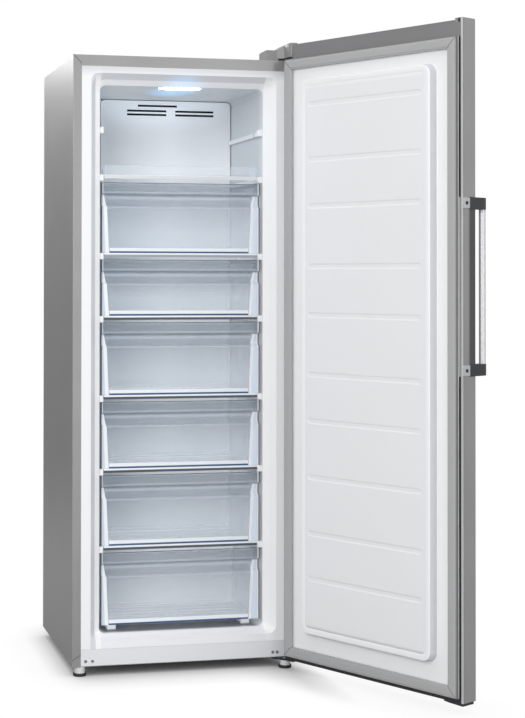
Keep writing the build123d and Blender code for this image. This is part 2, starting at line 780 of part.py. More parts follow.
def plateau(grow):
    """The raised middle of the door's liner."""
    w = plateau_width / 2 + grow
    z = (under + plateau_bottom - grow, roof - plateau_top_drop + grow)
    d = plateau_draft
    return funnel((door_back, w + d, z[0] - d, z[1] + d, plateau_radius + d + grow),
                  (plateau_reach + grow, w, z[0], z[1], plateau_radius + grow))


def plateau_core(back):
    """The foam behind the raised middle, from inside the liner's skin."""
    half_width = plateau_width / 2 + plateau_draft - wall
    z = (under + plateau_bottom - plateau_draft + wall, roof - plateau_top_drop + plateau_draft - wall)
    return plateau(-wall) + panel((-half_width, half_width), (back, door_back), z, plateau_radius)


def door_liner():
    shape = block(liner_x, (door_back - wall, door_back), (door_inner_bottom, door_inner_top))
    shape += plateau(0.0)
    shape -= plateau_core(door_back - wall - 1)
    edge = plateau_width / 2 - panel_inset
    shape -= panel((-edge, edge), (plateau_reach - panel_relief, plateau_reach + 1),
                   (under + plateau_bottom + panel_inset, roof - plateau_top_drop - panel_inset),
                   plateau_radius - panel_inset + 4)
    reach = plateau_width / 2 - rib_end_gap
    for z in rib_levels:
        shape -= panel((-reach, reach), (plateau_reach - rib_relief, plateau_reach + 1),
                       (z - rib_height / 2, z + rib_height / 2), rib_height / 2 - 0.1)
    return shape


def door_foam():
    z = (door_bottom + cap_lip, door_top - cap_lip)
    shape = extrude(Pos(0, 0, z[0]) * door_outline(-sheet), z[1] - z[0])
    shape -= block((-half, half), (door_back - wall, 0), (z[0] - 1, z[1] + 1))
    shape -= block((-half, half), (door_back - cap_wall, 0), (door_inner_top, z[1] + 1))
    shape -= block((-half, half), (door_back - cap_wall, 0), (z[0] - 1, door_inner_bottom))
    for x in ((-half, liner_x[0]), (liner_x[1], half)):
        shape -= block(x, (door_back - cap_wall, 0), (z[0] - 1, z[1] + 1))
    shape += plateau_core(door_back - wall)
    shape -= hinge_notch(notch_floor)
    shape -= pin_bush((notch_floor - pin_depth - 4, notch_floor))
    return shape - pin_bush((z[0] - 1, door_bottom + pin_depth + 4))


def door_gasket():
    """A magnetic seal: a neck on the liner, a broad body and a bulb that meets the flange."""
    x = (gasket_insets[0] - half, half - gasket_insets[1])
    z = (under + gasket_bottom, roof - gasket_top_drop)
    steps = (door_back, door_back + gasket_foot, -gasket_gap - gasket_bulb, -gasket_gap)
    shape = None
    for i, inset in enumerate((gasket_neck_inset, 0, gasket_bulb_inset)):
        y = steps[i:i + 2]
        ring = block((x[0] + inset, x[1] - inset), y, (z[0] + inset, z[1] - inset))
        inner = gasket_width - inset
        ring -= block((x[0] + inner, x[1] - inner), (y[0] - 1, y[1] + 1), (z[0] + inner, z[1] - inner))
        shape = ring if shape is None else shape + ring
    return shape


# ---- handle on the free edge --------------------------------------------------------------
def handle_bar():
    """A round bar whose ends are turned down to fit into the brackets."""
    low, high = bracket_levels[1], bracket_levels[0]
    inside = bracket_height / 2
    bar = rod((bar_x, bar_y, low + inside), handle_radius, high - low - 2 * inside)
    return bar + rod((bar_x, bar_y, low), spigot_radius, high - low)


def handle_brackets():
    """Dark end blocks that hold the bar in a round nose and wrap the edge of the door."""
    out = -half - bracket_wall
    brackets = []
    for z in bracket_levels:
        side = (z - bracket_height / 2, z + bracket_height / 2)
        shape = plan_profile([(out, -plate_end), (-half, -plate_end), (-half, door_front),
                              (bar_x + bracket_nose + 3, door_front), (bar_x + bracket_nose, bar_y),
                              (bar_x - 7.2, bar_y - 5.8), (out, bar_y + 12)], side)
        shape += rod((bar_x, bar_y, side[0]), bracket_nose, bracket_height)
        brackets.append(shape - handle_bar())
    return brackets


def handle_plates():
    """Light feet that the brackets are screwed down with, and a strip behind the door's edge."""
    ends = (bracket_levels[1] - bracket_height / 2, bracket_levels[0] + bracket_height / 2)
    plates = [block(strip_x, (door_back - sheet - 0.2, door_back + strip_rise), ends)]
    for z in bracket_levels:
        side = (z - bracket_height / 2 + 1.5, z + bracket_height / 2 - 1.5)
        plate = block((-half - plate_wall, -half), (-plate_end, -plate_start), side)
        plate = fillet(plate.edges().filter_by(Axis.X).group_by(Axis.Y)[-1], 5.0)
        hole = rod((-half - plate_wall, -plate_screw, z), plate_screw_radius, plate_wall, (1, 0, 0))
        plates.append(plate - hole)
    return plates


def handle_screws():
    out = -half - plate_wall
    screws = []
    for z in bracket_levels:
        shank = rod((out, -plate_screw, z), plate_screw_radius, plate_wall, (1, 0, 0))
        screws.append(shank + rod((out - 1.6, -plate_screw, z), 4.2, 1.6, (1, 0, 0)))
    return screws


# ---- hinges and feet --------------------------------------------------------------------
def top_hinge_bracket():
    z = (roof, roof + arm_thickness)
    left = hinge_x - arm_left + 3
    right = hinge_x + arm_right - 3
    inner = hinge_x - top_plate_reach
    shape = plan_profile([(inner, 18), (left, 4), (left, hinge_y), (right, hinge_y), (right, plate_back - 6),
                          (inner, plate_back - 6)], z)
    shape += rod((hinge_x, hinge_y, z[0]), 12.0, arm_thickness)
    for x, y in top_screw_spots:
        shape -= rod((x, y, z[0] - 1), screw_radius, arm_thickness + 2)
    return shape - rod((hinge_x, hinge_y, z[0] - 1), pin_radius, arm_thickness + 2)


def bottom_hinge_bracket():
    z = (lower_arm_bottom, under)
    inner = hinge_x - bottom_plate_reach
    shape = plan_profile([(inner, sheet + wall), (hinge_x - arm_left, hinge_y + 4),
                          (hinge_x - arm_left, hinge_y), (hinge_x + 11, hinge_y), (hinge_x + 11, plate_back),
                          (inner, plate_back)], z)
    shape += rod((hinge_x, hinge_y, z[0]), 12.0, arm_thickness)
    shape += rod((hinge_x, hinge_y, under), pin_head_radius, door_lift - hinge_gap)
    for x, y in bottom_screw_spots:
        shape -= rod((x, y, z[0] - 1), screw_radius, 20)
    shape -= rod((right_foot[0], right_foot[1], z[0] - 1), foot_stem_radius + foot_gap, 20)
    return shape - rod((hinge_x, hinge_y, z[0] - 1), pin_radius, 20)


def hinge_pins():
    low = lower_arm_bottom
    length = pin_depth - 2 + arm_thickness
    upper = rod((hinge_x, hinge_y, roof + arm_thickness - length), pin_radius, length)
    upper += rod((hinge_x, hinge_y, roof + arm_thickness), pin_head_radius, 3.0)
    lower = rod((hinge_x, hinge_y, low), pin_radius, length)
    lower += rod((hinge_x, hinge_y, low - 2.5), pin_head_radius, 2.5)
    return [upper, lower]


def hinge_screws():
    head = 2.5
    screws = []
    for x, y in top_screw_spots:
        screws.append(rod((x, y, roof), screw_radius, arm_thickness)
                      + rod((x, y, roof + arm_thickness), 2 * screw_radius, head))
    for x, y in bottom_screw_spots:
        screws.append(rod((x, y, lower_arm_bottom), screw_radius, under - lower_arm_bottom)
                      + rod((x, y, lower_arm_bottom - head), 2 * screw_radius, head))
    return screws


def hood_body(shrink=0.0):
    """The hood's outside: its plan cut by its stepped front view, or both drawn in by a wall."""
    floor = roof - shrink
    plan = make_face(Polyline([(hinge_x + x, y, floor) for x, y in hood_plan], close=True))
    nose = plan.vertices().sort_by(Axis.Y)[:2].sort_by(Axis.X)[0]
    plan = fillet(nose, hood_nose_radius)
    if shrink:
        plan = offset(plan, -shrink)
    tower = extrude(plan, hood_rise[-1][1] + shrink, dir=(0, 0, 1))
    rise = [(hinge_x + x, roof + z - shrink) for x, z in hood_rise]
    rise = [(rise[0][0], floor)] + rise + [(rise[-1][0], floor)]
    view = make_face(Polyline([(x, hood_front, z) for x, z in rise], close=True))
    return tower & extrude(view, plate_back - hood_front, dir=(0, 1, 0))


def top_hinge_cover():
    """A stepped hood over the top hinge, open below, with a rounded nose over the pin."""
    shell = hood_body() - hood_body(hood_wall)
    return shell - block((0, half), (hood_front, 0), (roof - hood_wall, roof + hood_lift))


def foot_pad(x, y):
    pad = rod((x, y, 0), foot_pad_radius, foot_pad_height)
    return chamfer(pad.faces().sort_by(Axis.Z)[0].edges(), 1.5)


def foot_sleeve(x, y, top, stem_top):
    """The knurled steel sleeve and the threaded stem above it."""
    sleeve = rod((x, y, foot_pad_height), foot_sleeve_radius, top - foot_gap - foot_pad_height)
    for i in range(sleeve_groove_count):
        z = foot_pad_height + (top - foot_pad_height) * (i + 1) / (sleeve_groove_count + 1)
        ring = rod((x, y, z - 0.5), foot_sleeve_radius + 1, 1.0)
        sleeve -= ring - rod((x, y, z - 0.5), foot_sleeve_radius - 0.8, 1.0)
    return sleeve + rod((x, y, top - 1.0), foot_stem_radius, stem_top - top + 1.0)


def rear_feet():
    foot = rod((rear_foot_x, rear_foot_y, 0), rear_foot_radius, under)
    return both_sides(foot + rod((rear_foot_x, rear_foot_y, under), foot_stem_radius, base_sheet))


# ---- the whole part ---------------------------------------------------------------------
def fixed_and_sliding():
    """Every piece but the door's, by name."""
    pieces = {
        "outer_cabinet": outer_cabinet(), "inner_liner": inner_liner(),
        "insulation_foam": insulation_foam(),
        "back_panel": back_panel(), "base_tray": base_tray(), "kick_plate": kick_plate(),
        "kick_screws": kick_screws(), "shelf_rails": shelf_rails(), "shelf_guard": shelf_guard(),
        "shelf_rims": [shelf_rim(top) for top in shelf_tops], "evaporator_cover": evaporator_cover(),
        "evaporator_coil": evaporator_coil(), "fan_motor": fan_motor(), "fan": fan(),
        "lamp_lens": lamp_lens(), "compressor": compressor(), "compressor_mounts": compressor_mounts(),
        "relay_box": relay_box(), "drip_tray": drip_tray(), "condenser": condenser(),
        "bay_cover": bay_cover(),
        "top_hinge_bracket": top_hinge_bracket(), "top_hinge_cover": top_hinge_cover(),
        "bottom_hinge_bracket": bottom_hinge_bracket(), "hinge_pins": hinge_pins(),
        "hinge_screws": hinge_screws(),
        "foot_pad_left": foot_pad(*left_foot), "foot_pad_right": foot_pad(*right_foot),
        "foot_sleeve_left": foot_sleeve(*left_foot, under, under + base_sheet),
        "foot_sleeve_right": foot_sleeve(*right_foot, lower_arm_bottom, under),
        "rear_feet": rear_feet(),
    }
    for number, top in enumerate(shelf_tops, 1):
        pieces[f"shelf_glass_{number}"] = shelf_glass(top)
    for number, (floor, height) in enumerate(zip(drawer_floors, drawer_heights), 1):
        pieces[f"drawer_tub_{number}"] = drawer_tub(floor, height)
        pieces[f"drawer_front_{number}"] = drawer_front(floor, height)
    return pieces


def door_pieces():
    return {
        "door_panel": door_panel(), "door_top_cap": door_top_cap(), "door_bottom_cap": door_bottom_cap(),
        "door_side_trim": door_side_trim(), "door_liner": door_liner(), "door_foam": door_foam(),
        "door_gasket": door_gasket(), "handle_bar": handle_bar(), "handle_brackets": handle_brackets(),
        "handle_plates": handle_plates(), "handle_screws": handle_screws(),
    }


def as_one(piece):
    """One shape for the file: a list of like solids becomes a group."""
    solids = [solid for item in (piece if isinstance(piece, list) else [piece]) for solid in item.solids()]
    return solids[0] if len(solids) == 1 else Compound(solids)


def all_pieces():
    """The pieces with the door open at rest, about the middle of their footprint."""
    pieces = {name: as_one(piece) for name, piece in fixed_and_sliding().items()}
    hinge = Axis((hinge_x, hinge_y, 0), (0, 0, 1))
    for name, piece in door_pieces().items():
        pieces[name] = as_one(piece).rotate(hinge, rest_angle)
    boxes = [piece.bounding_box() for piece in pieces.values()]
    middle_x = (min(box.min.X for box in boxes) + max(box.max.X for box in boxes)) / 2
    middle_y = (min(box.min.Y for box in boxes) + max(box.max.Y for box in boxes)) / 2
    shift = Vector(-round(middle_x), -round(middle_y), 0)
    return {name: piece.moved(Location(shift)) for name, piece in pieces.items()}, shift


if __name__ == "__main__":
    os.makedirs("parts", exist_ok=True)
    placed, shift = all_pieces()
    for name, piece in placed.items():
        export_step(piece, f"parts/{name}.step")
    print("pieces", len(placed), "origin from the middle of the cabinet's front",
          -shift.X, -shift.Y)
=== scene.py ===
import json
import bpy
import numpy as np
from mathutils import Matrix, Vector

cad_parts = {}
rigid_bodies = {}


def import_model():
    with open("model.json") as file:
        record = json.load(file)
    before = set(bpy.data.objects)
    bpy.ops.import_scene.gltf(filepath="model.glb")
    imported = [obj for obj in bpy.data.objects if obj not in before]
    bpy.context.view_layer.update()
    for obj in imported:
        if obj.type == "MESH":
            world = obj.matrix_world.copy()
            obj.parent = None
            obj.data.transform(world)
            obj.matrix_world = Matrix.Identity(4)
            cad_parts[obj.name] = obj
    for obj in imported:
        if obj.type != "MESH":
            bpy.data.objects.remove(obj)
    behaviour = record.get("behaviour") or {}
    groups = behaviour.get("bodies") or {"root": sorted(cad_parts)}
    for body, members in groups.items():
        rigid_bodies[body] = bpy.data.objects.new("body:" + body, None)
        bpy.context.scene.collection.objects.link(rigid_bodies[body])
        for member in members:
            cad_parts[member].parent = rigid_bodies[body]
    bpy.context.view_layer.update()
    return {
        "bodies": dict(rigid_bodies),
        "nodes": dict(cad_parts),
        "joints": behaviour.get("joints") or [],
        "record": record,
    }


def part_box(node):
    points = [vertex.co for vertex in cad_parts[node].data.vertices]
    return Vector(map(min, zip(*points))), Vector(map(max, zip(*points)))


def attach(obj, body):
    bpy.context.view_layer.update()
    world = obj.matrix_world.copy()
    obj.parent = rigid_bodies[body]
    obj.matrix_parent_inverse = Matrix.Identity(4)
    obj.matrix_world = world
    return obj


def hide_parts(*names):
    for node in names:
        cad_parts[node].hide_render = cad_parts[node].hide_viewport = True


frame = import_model()
nodes = frame["nodes"]

# ---- Studio ----------------------------------------------------------------------------
# A long lens stands left of the appliance at chest height and looks slightly to the right,
# so the side of the cabinet, the whole interior and the back of the open door all show.
view_width, view_height = 525.0, 718.0
focal_length = 1629.76                  # the camera's lengths are in pixels of the view
axis_x, axis_y = 160.82, 255.5          # where its axis meets the view, from the left and the top
sensor_width = 36.0
eye = Vector((-1.15431, -4.1348, 1.03118))
turn, tilt, roll = np.radians([12.559, 0.756, 0.083])
ahead = Vector((np.sin(turn) * np.cos(tilt), np.cos(turn) * np.cos(tilt), np.sin(tilt)))
level = Vector((np.cos(turn), -np.sin(turn), 0.0))
upright = level.cross(ahead)
right = np.cos(roll) * level + np.sin(roll) * upright
up = np.cos(roll) * upright - np.sin(roll) * level
camera = bpy.data.objects.new("camera", bpy.data.cameras.new("camera"))
camera.matrix_world = Matrix.Translation(eye) @ Matrix((right, up, -ahead)).transposed().to_4x4()
camera.data.sensor_fit = "AUTO"
camera.data.sensor_width = sensor_width
camera.data.lens = focal_length * sensor_width / view_height
camera.data.shift_x = (view_width / 2 - axis_x) / view_height
camera.data.shift_y = (axis_y - view_height / 2) / view_height
bpy.context.scene.collection.objects.link(camera)
bpy.context.scene.camera = camera
bpy.context.scene.view_settings.view_transform = "Standard"
bpy.context.scene.cycles.transparent_max_bounces = 32   # a look through six clear drawers


def feed(tree, term, socket):
    """Gives a socket a number, a colour or what another node puts out."""
    if isinstance(term, (int, float, tuple)):
        socket.default_value = term
    else:
        tree.links.new(term, socket)


def reckon(tree, operation, *terms):
    """A sum, product or other result of sockets and numbers."""
    node = tree.nodes.new("ShaderNodeMath")
    node.operation = operation
    for socket, term in zip(node.inputs, terms):
        feed(tree, term, socket)
    return node.outputs[0]


def remap(tree, value, start=(0.0, 1.0), end=(0.0, 1.0), kind="LINEAR"):
    """Runs between the two end values while a value runs over its starting span, and holds them beyond it."""
    node = tree.nodes.new("ShaderNodeMapRange")
    node.interpolation_type = kind
    for name, term in zip(("Value", "From Min", "From Max", "To Min", "To Max"), (value, *start, *end)):
        feed(tree, term, node.inputs[name])
    return node.outputs["Result"]


def blend(tree, mask, under, over, kind="FLOAT"):
    """The first of two numbers or colours where the mask is 0, and the second where it is 1."""
    node = tree.nodes.new("ShaderNodeMix")
    node.data_type = kind
    first, second, result = (2, 3, 0) if kind == "FLOAT" else (6, 7, 2)
    for term, socket in ((mask, 0), (under, first), (over, second)):
        feed(tree, term, node.inputs[socket])
    return node.outputs[result]


def where(tree, coordinates="Object"):
    """The x, y and z of a point on the object, or of a direction."""
    place = tree.nodes.new("ShaderNodeTexCoord")
    split = tree.nodes.new("ShaderNodeSeparateXYZ")
    tree.links.new(place.outputs[coordinates], split.inputs[0])
    return split.outputs


def stripes(tree, value, length, stops):
    """Colours and covers at given places along a length, over which the value runs from 0 to 1."""
    ramp = tree.nodes.new("ShaderNodeValToRGB")
    elements = ramp.color_ramp.elements
    for i, (at, tone) in enumerate(stops):
        stop = elements[i] if i < 2 else elements.new(1.0)
        stop.position = at / length
        stop.color = tone
    tree.links.new(value, ramp.inputs[0])
    return ramp.outputs


# The surroundings are white to the eye, and light the rest evenly, more from above than below.
world = bpy.data.worlds.new("studio")
bpy.context.scene.world = world
world.use_nodes = True
tree = world.node_tree
path = tree.nodes.new("ShaderNodeLightPath")
seen = reckon(tree, "MAXIMUM", path.outputs["Is Camera Ray"], path.outputs["Is Transmission Ray"])
rise = remap(tree, where(tree, "Generated")["Z"], (-0.06, 0.36), (0.24, 0.58), "SMOOTHSTEP")
backdrop = tree.nodes["Background"]
backdrop.inputs["Color"].default_value = (1.0, 1.0, 1.0, 1.0)
tree.links.new(remap(tree, seen, end=(rise, 1.0)), backdrop.inputs["Strength"])

# The floor is a pale sheet that fades into the white of the backdrop. Where the appliance stands over it,
# shade is painted on it: deep under the cabinet, and faint under the door and beside it.
floor_reach = 9
floor_mesh = bpy.data.meshes.new("floor")
floor_mesh.from_pydata([(x * floor_reach, y * floor_reach, 0) for x, y in ((-1, -1), (1, -1), (1, 1), (-1, 1))],
                       [], [(0, 1, 2, 3)])
floor = bpy.data.objects.new("floor", floor_mesh)
bpy.context.scene.collection.objects.link(floor)
pale = bpy.data.materials.new("pale_floor")
pale.use_nodes = True
tree = pale.node_tree
tree.nodes.clear()
path = tree.nodes.new("ShaderNodeLightPath")
matt = tree.nodes.new("ShaderNodeBsdfDiffuse")
matt.inputs["Color"].default_value = (0.34, 0.34, 0.34, 1.0)
# painted shade: to the eye the floor glows, dimmed by ambient occlusion weighted by a ramp across the width
open_sky = tree.nodes.new("ShaderNodeAmbientOcclusion")
open_sky.inputs["Distance"].default_value = 0.16
shade_depths = ((-0.52, 0.15), (-0.45, 1.0), (0.11, 1.0), (0.19, 0.12))     # by distance to the right
shade_depth = stripes(tree, remap(tree, where(tree)["X"], (-1.0, 1.0)), 2.0,
                      [(x + 1.0, (share, share, share, 1.0)) for x, share in shade_depths])[0]
lift = tree.nodes.new("ShaderNodeEmission")
tree.links.new(blend(tree, shade_depth, 1.0, open_sky.outputs["AO"]), lift.inputs["Strength"])
pick = tree.nodes.new("ShaderNodeMixShader")
out = tree.nodes.new("ShaderNodeOutputMaterial")
for source, socket in ((path.outputs["Is Camera Ray"], pick.inputs[0]), (matt.outputs[0], pick.inputs[1]),
                       (lift.outputs[0], pick.inputs[2]), (pick.outputs[0], out.inputs["Surface"])):
    tree.links.new(source, socket)
floor_mesh.materials.append(pale)

for name, spot, aim, size, watts in (
        ("front_light", (-2.6, -4.4, 1.9), (0.0, 0.0, 0.8), 2.2, 124.0),
        ("right_light", (2.4, -3.6, 1.1), (0.0, 0.1, 0.6), 2.0, 44.0),
        ("side_light", (-1.1, 2.9, 2.6), (-0.46, 0.25, 1.5), 1.0, 64.0),
        ("top_light", (0.0, -0.8, 4.0), (0.0, 0.0, 0.0), 2.6, 20.0)):
    lamp = bpy.data.objects.new(name, bpy.data.lights.new(name, "AREA"))
    lamp.data.size = size
    lamp.data.energy = watts
    lamp.location = spot
    lamp.rotation_euler = (Vector(aim) - Vector(spot)).to_track_quat("-Z", "Y").to_euler()
    bpy.context.scene.collection.objects.link(lamp)


# ---- Cabinet shell ------------------------------------------------------------------------
# One sheet of steel folded round both sides and the top, with mitred returns at the front.
# It is sprayed in a satin silver with a faint metallic grain.
def noise(tree, vector, scale, detail):
    """Smooth random shades of a given fineness."""
    node = tree.nodes.new("ShaderNodeTexNoise")
    node.inputs["Scale"].default_value = scale
    node.inputs["Detail"].default_value = detail
    tree.links.new(vector, node.inputs["Vector"])
    return node.outputs["Fac"]


def finish(name, colour, roughness, metallic=0.0, grain=900.0, relief=0.05, mottle=0.03, stretch=(1, 1, 1)):
    """A moulded or painted surface: fine noise gives it relief, and broad noise varies its shade and gloss."""
    material = bpy.data.materials.new(name)
    material.use_nodes = True
    tree = material.node_tree
    shader = tree.nodes["Principled BSDF"]
    shader.inputs["Metallic"].default_value = metallic
    place = tree.nodes.new("ShaderNodeTexCoord")
    scale = tree.nodes.new("ShaderNodeMapping")
    scale.inputs["Scale"].default_value = stretch
    tree.links.new(place.outputs["Object"], scale.inputs["Vector"])
    bump = tree.nodes.new("ShaderNodeBump")
    bump.inputs["Strength"].default_value = relief
    bump.inputs["Distance"].default_value = 0.001
    tree.links.new(noise(tree, scale.outputs["Vector"], grain, 3.0), bump.inputs["Height"])
    tree.links.new(bump.outputs["Normal"], shader.inputs["Normal"])
    broad = noise(tree, scale.outputs["Vector"], 7.0, 4.0)
    darker = (*[c * (1 - mottle) for c in colour], 1.0)
    lighter = (*[min(1.0, c * (1 + mottle)) for c in colour], 1.0)
    tree.links.new(blend(tree, broad, darker, lighter, "RGBA"), shader.inputs["Base Color"])
    gloss = remap(tree, broad, end=(roughness - 0.04, roughness + 0.04))
    tree.links.new(gloss, shader.inputs["Roughness"])
    return material


def dress(material, *names):
    """Gives modelled pieces their finish."""
    for name in names:
        nodes[name].data.materials.clear()
        nodes[name].data.materials.append(material)


def soften(width, *names):
    """Joins the faces of modelled pieces and rounds their sharp edges."""
    for name in names:
        join = nodes[name].modifiers.new("join", "WELD")
        join.merge_threshold = 0.00001
        edge = nodes[name].modifiers.new("edge", "BEVEL")
        edge.width = width
        edge.segments = 2
        edge.limit_method = "ANGLE"
        edge.angle_limit = np.radians(38.0)


def tinted(material, masks):
    """Lays further colours over a finish, each where its mask is 1."""
    tree = material.node_tree
    base = tree.nodes["Principled BSDF"].inputs["Base Color"]
    colour = base.links[0].from_socket
    for mask, tone in masks:
        colour = blend(tree, mask, colour, (*tone, 1.0), "RGBA")
    tree.links.new(colour, base)


def band(tree, value, low, high, soft=0.0004):
    """A mask that is 1 from low to high and falls to 0 within a soft edge."""
    away = reckon(tree, "ABSOLUTE", reckon(tree, "SUBTRACT", value, (low + high) / 2))
    return remap(tree, away, ((high - low) / 2 + soft, (high - low) / 2 - soft))


def patch(tree, *spans):
    """A mask that is 1 where each value lies in its span: value, low, high and the softness of the edge."""
    mask = band(tree, *spans[0])
    for span in spans[1:]:
        mask = reckon(tree, "MULTIPLY", mask, band(tree, *span))
    return mask


cabinet_left, roof = -0.4605, 1.6075
return_width, return_back = 0.0225, 0.0245
lower_corner, lower_slope = 0.042, 0.66         # where the lower mitre starts on the side, and how it climbs
silver_steel = finish("silver_steel", (0.43, 0.43, 0.43), 0.4, metallic=0.8, grain=1400.0, relief=0.04)
tree = silver_steel.node_tree
x, y, z = where(tree)
from_side = reckon(tree, "SUBTRACT", x, cabinet_left)
upper_mitre = reckon(tree, "ADD", reckon(tree, "SUBTRACT", from_side, roof), z)
lower_mitre = reckon(tree, "SUBTRACT", reckon(tree, "SUBTRACT", z, lower_corner),
                     reckon(tree, "MULTIPLY", from_side, lower_slope))
tinted(silver_steel, [(patch(tree, (y, -0.1, return_back), (mitre, -width, width, 0.0005),
                             (from_side, -0.01, return_width)), (0.10, 0.10, 0.10))
                      for mitre, width in ((upper_mitre, 0.0010), (lower_mitre, 0.0008))])
dress(silver_steel, "outer_cabinet")
soften(0.0008, "outer_cabinet")
rear_steel = finish("rear_steel", (0.42, 0.43, 0.44), 0.5, metallic=0.6, grain=260.0, relief=0.05, mottle=0.08)
dress(rear_steel, "back_panel", "base_tray", "bay_cover")

# ---- Liner --------------------------------------------------------------------------------
# A vacuum-formed white shell with a two-step bevel round its mouth. Round the lamp a faint
# blue glow is painted onto the plastic as emission.
liner_white = finish("liner_white", (0.88, 0.89, 0.91), 0.34, grain=500.0, relief=0.03, mottle=0.01)


def painted_glow(material, centre, size, strength, tone=(0.10, 0.50, 1.0)):
    """A painted glow round the lamp, an emission strongest at its centre and gone at the given size."""
    tree = material.node_tree
    shader = tree.nodes["Principled BSDF"]
    place = tree.nodes.new("ShaderNodeTexCoord")
    halo = tree.nodes.new("ShaderNodeMapping")
    halo.vector_type = "TEXTURE"
    halo.inputs["Location"].default_value = centre
    halo.inputs["Scale"].default_value = size
    tree.links.new(place.outputs["Object"], halo.inputs["Vector"])
    span = tree.nodes.new("ShaderNodeVectorMath")
    span.operation = "LENGTH"
    tree.links.new(halo.outputs["Vector"], span.inputs[0])
    fall = remap(tree, span.outputs["Value"], (0.25, 1.0), (strength, 0.0), "SMOOTHERSTEP")
    shader.inputs["Emission Color"].default_value = (*tone, 1.0)
    tree.links.new(fall, shader.inputs["Emission Strength"])


lens_low, lens_high = np.array(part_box("lamp_lens"))
lens_middle = (lens_low + lens_high) / 2
behind_lens = (0.0, 0.06, 0.006)
painted_glow(liner_white, tuple(lens_middle + behind_lens), (0.095, 0.19, 0.07), 0.4)
throat_left, throat_roof, throat_radius = -0.3842, 1.5333, 0.015
tree = liner_white.node_tree
x, y, z = where(tree)
# how far a point lies outside the throat, on the slope that widens to the mouth: left and up, round the corner
beside = reckon(tree, "MAXIMUM", reckon(tree, "SUBTRACT", throat_left + throat_radius, x), 0.0)
over = reckon(tree, "MAXIMUM", reckon(tree, "SUBTRACT", z, throat_roof - throat_radius), 0.0)
squares = reckon(tree, "ADD", reckon(tree, "MULTIPLY", beside, beside), reckon(tree, "MULTIPLY", over, over))
outward = reckon(tree, "SUBTRACT", reckon(tree, "SQRT", squares), throat_radius)
slope = (y, 0.0, 0.0575)
for spans, tone in (
        # painted shade on the right wall
        (((x, 0.048, 0.075, 0.004), (y, 0.075, 0.6, 0.03)), (0.66, 0.68, 0.71)),
        # painted shade on the outer step of the bevel, then painted light on its inner step on the left and on
        # its right side
        (((outward, 0.0135, 0.0283), slope), (0.71, 0.73, 0.77)),
        (((x, -0.3990, throat_left), slope), (0.98, 0.98, 0.985)),
        (((x, 0.0585, 0.2), slope), (0.97, 0.975, 0.985)),
        # painted shade on the lip above the mouth
        (((z, 1.562, 1.62, 0.01), (y, -0.1, 0.4, 0.01)), (0.72, 0.735, 0.76)),
        # a painted shadow on the floor in front of the lowest drawer
        (((x, -0.372, 0.046, 0.008), (y, 0.066, 0.15, 0.010), (z, 0.09, 0.105, 0.002)), (0.19, 0.21, 0.24))):
    tinted(liner_white, [(patch(tree, *spans), tone)])
dress(liner_white, "inner_liner")
fitting_white = finish("fitting_white", (0.88, 0.895, 0.92), 0.28, grain=500.0, relief=0.03, mottle=0.01)
dress(fitting_white, "shelf_rails")
soften(0.0012, "shelf_rails")
plinth_white = finish("plinth_white", (0.77, 0.785, 0.81), 0.38, grain=700.0, relief=0.04, mottle=0.01)
dress(plinth_white, "kick_plate")

# ---- Lamp ---------------------------------------------------------------------------------
# A frosted lens in the roof, lit from behind by cool white diodes.
lamp_glow = finish("lamp_glow", (0.9, 0.95, 1.0), 0.3, grain=900.0, relief=0.1, mottle=0.01)
glow = lamp_glow.node_tree.nodes["Principled BSDF"]
glow.inputs["Emission Color"].default_value = (0.8, 0.93, 1.0, 1.0)
glow.inputs["Emission Strength"].default_value = 14.0


def surface(name, points, material, body, loop_u=False, loop_v=False, smooth=True, holes=None):
    """A mesh from a grid of points, closed along either way where asked, without the cells in holes."""
    rows, columns = points.shape[:2]
    index = np.arange(rows * columns).reshape(rows, columns)
    if loop_u:
        index = np.vstack([index, index[:1]])
    if loop_v:
        index = np.hstack([index, index[:, :1]])
    quads = np.stack([index[:-1, :-1], index[1:, :-1], index[1:, 1:], index[:-1, 1:]], axis=-1).reshape(-1, 4)
    if holes is not None:
        quads = quads[~holes.ravel()]
    mesh = bpy.data.meshes.new(name)
    mesh.from_pydata(points.reshape(-1, 3).tolist(), [], quads.tolist())
    mesh.polygons.foreach_set("use_smooth", [smooth] * len(quads))
    mesh.materials.append(material)
    piece = bpy.data.objects.new(name, mesh)
    bpy.context.scene.collection.objects.link(piece)
    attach(piece, body)
    return piece


# a shallow oval dome: rings shrink towards its lowest point as the cosine of the angle from its rim
dome_rings, dome_points, dome_tip = 12, 64, 0.02
lens_angle, lens_turn = np.meshgrid(np.linspace(0.0, np.pi / 2 - dome_tip, dome_rings),
                                    np.linspace(0.0, 2 * np.pi, dome_points + 1)[:-1], indexing="ij")
lens_size = (lens_high - lens_low) / 2
dome = np.stack([lens_middle[0] + lens_size[0] * np.cos(lens_angle) * np.cos(lens_turn),
                 lens_middle[1] + lens_size[1] * np.cos(lens_angle) * np.sin(lens_turn),
                 lens_high[2] - 2 * lens_size[2] * np.sin(lens_angle)], axis=-1)
lens = surface("lamp_dome", dome, lamp_glow, "cabinet", loop_v=True)
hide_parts("lamp_lens")

# ---- Rear panel -----------------------------------------------------------------------------
# A moulded cover over the evaporator with three rows of air slots near its top, and a flat strip
# over the duct to its left. Its edges are turned back and its corners are rounded.
panel_white = finish("panel_white", (0.80, 0.815, 0.84), 0.5, grain=500.0, relief=0.03, mottle=0.01)
# painted shade: the walls of the slots and the panel's turned-back edges are black
slot_shade_black = finish("slot_shade_black", (0.012, 0.013, 0.015), 0.6, grain=500.0, relief=0.03)
# from here to the end of the section, sizes are in millimetres, and x is taken from the cabinet's middle
cabinet_middle = -163.0
cover_low = np.array(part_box("evaporator_cover")[0]) * 1000.0
cover_front, cover_bottom = cover_low[1], cover_low[2]
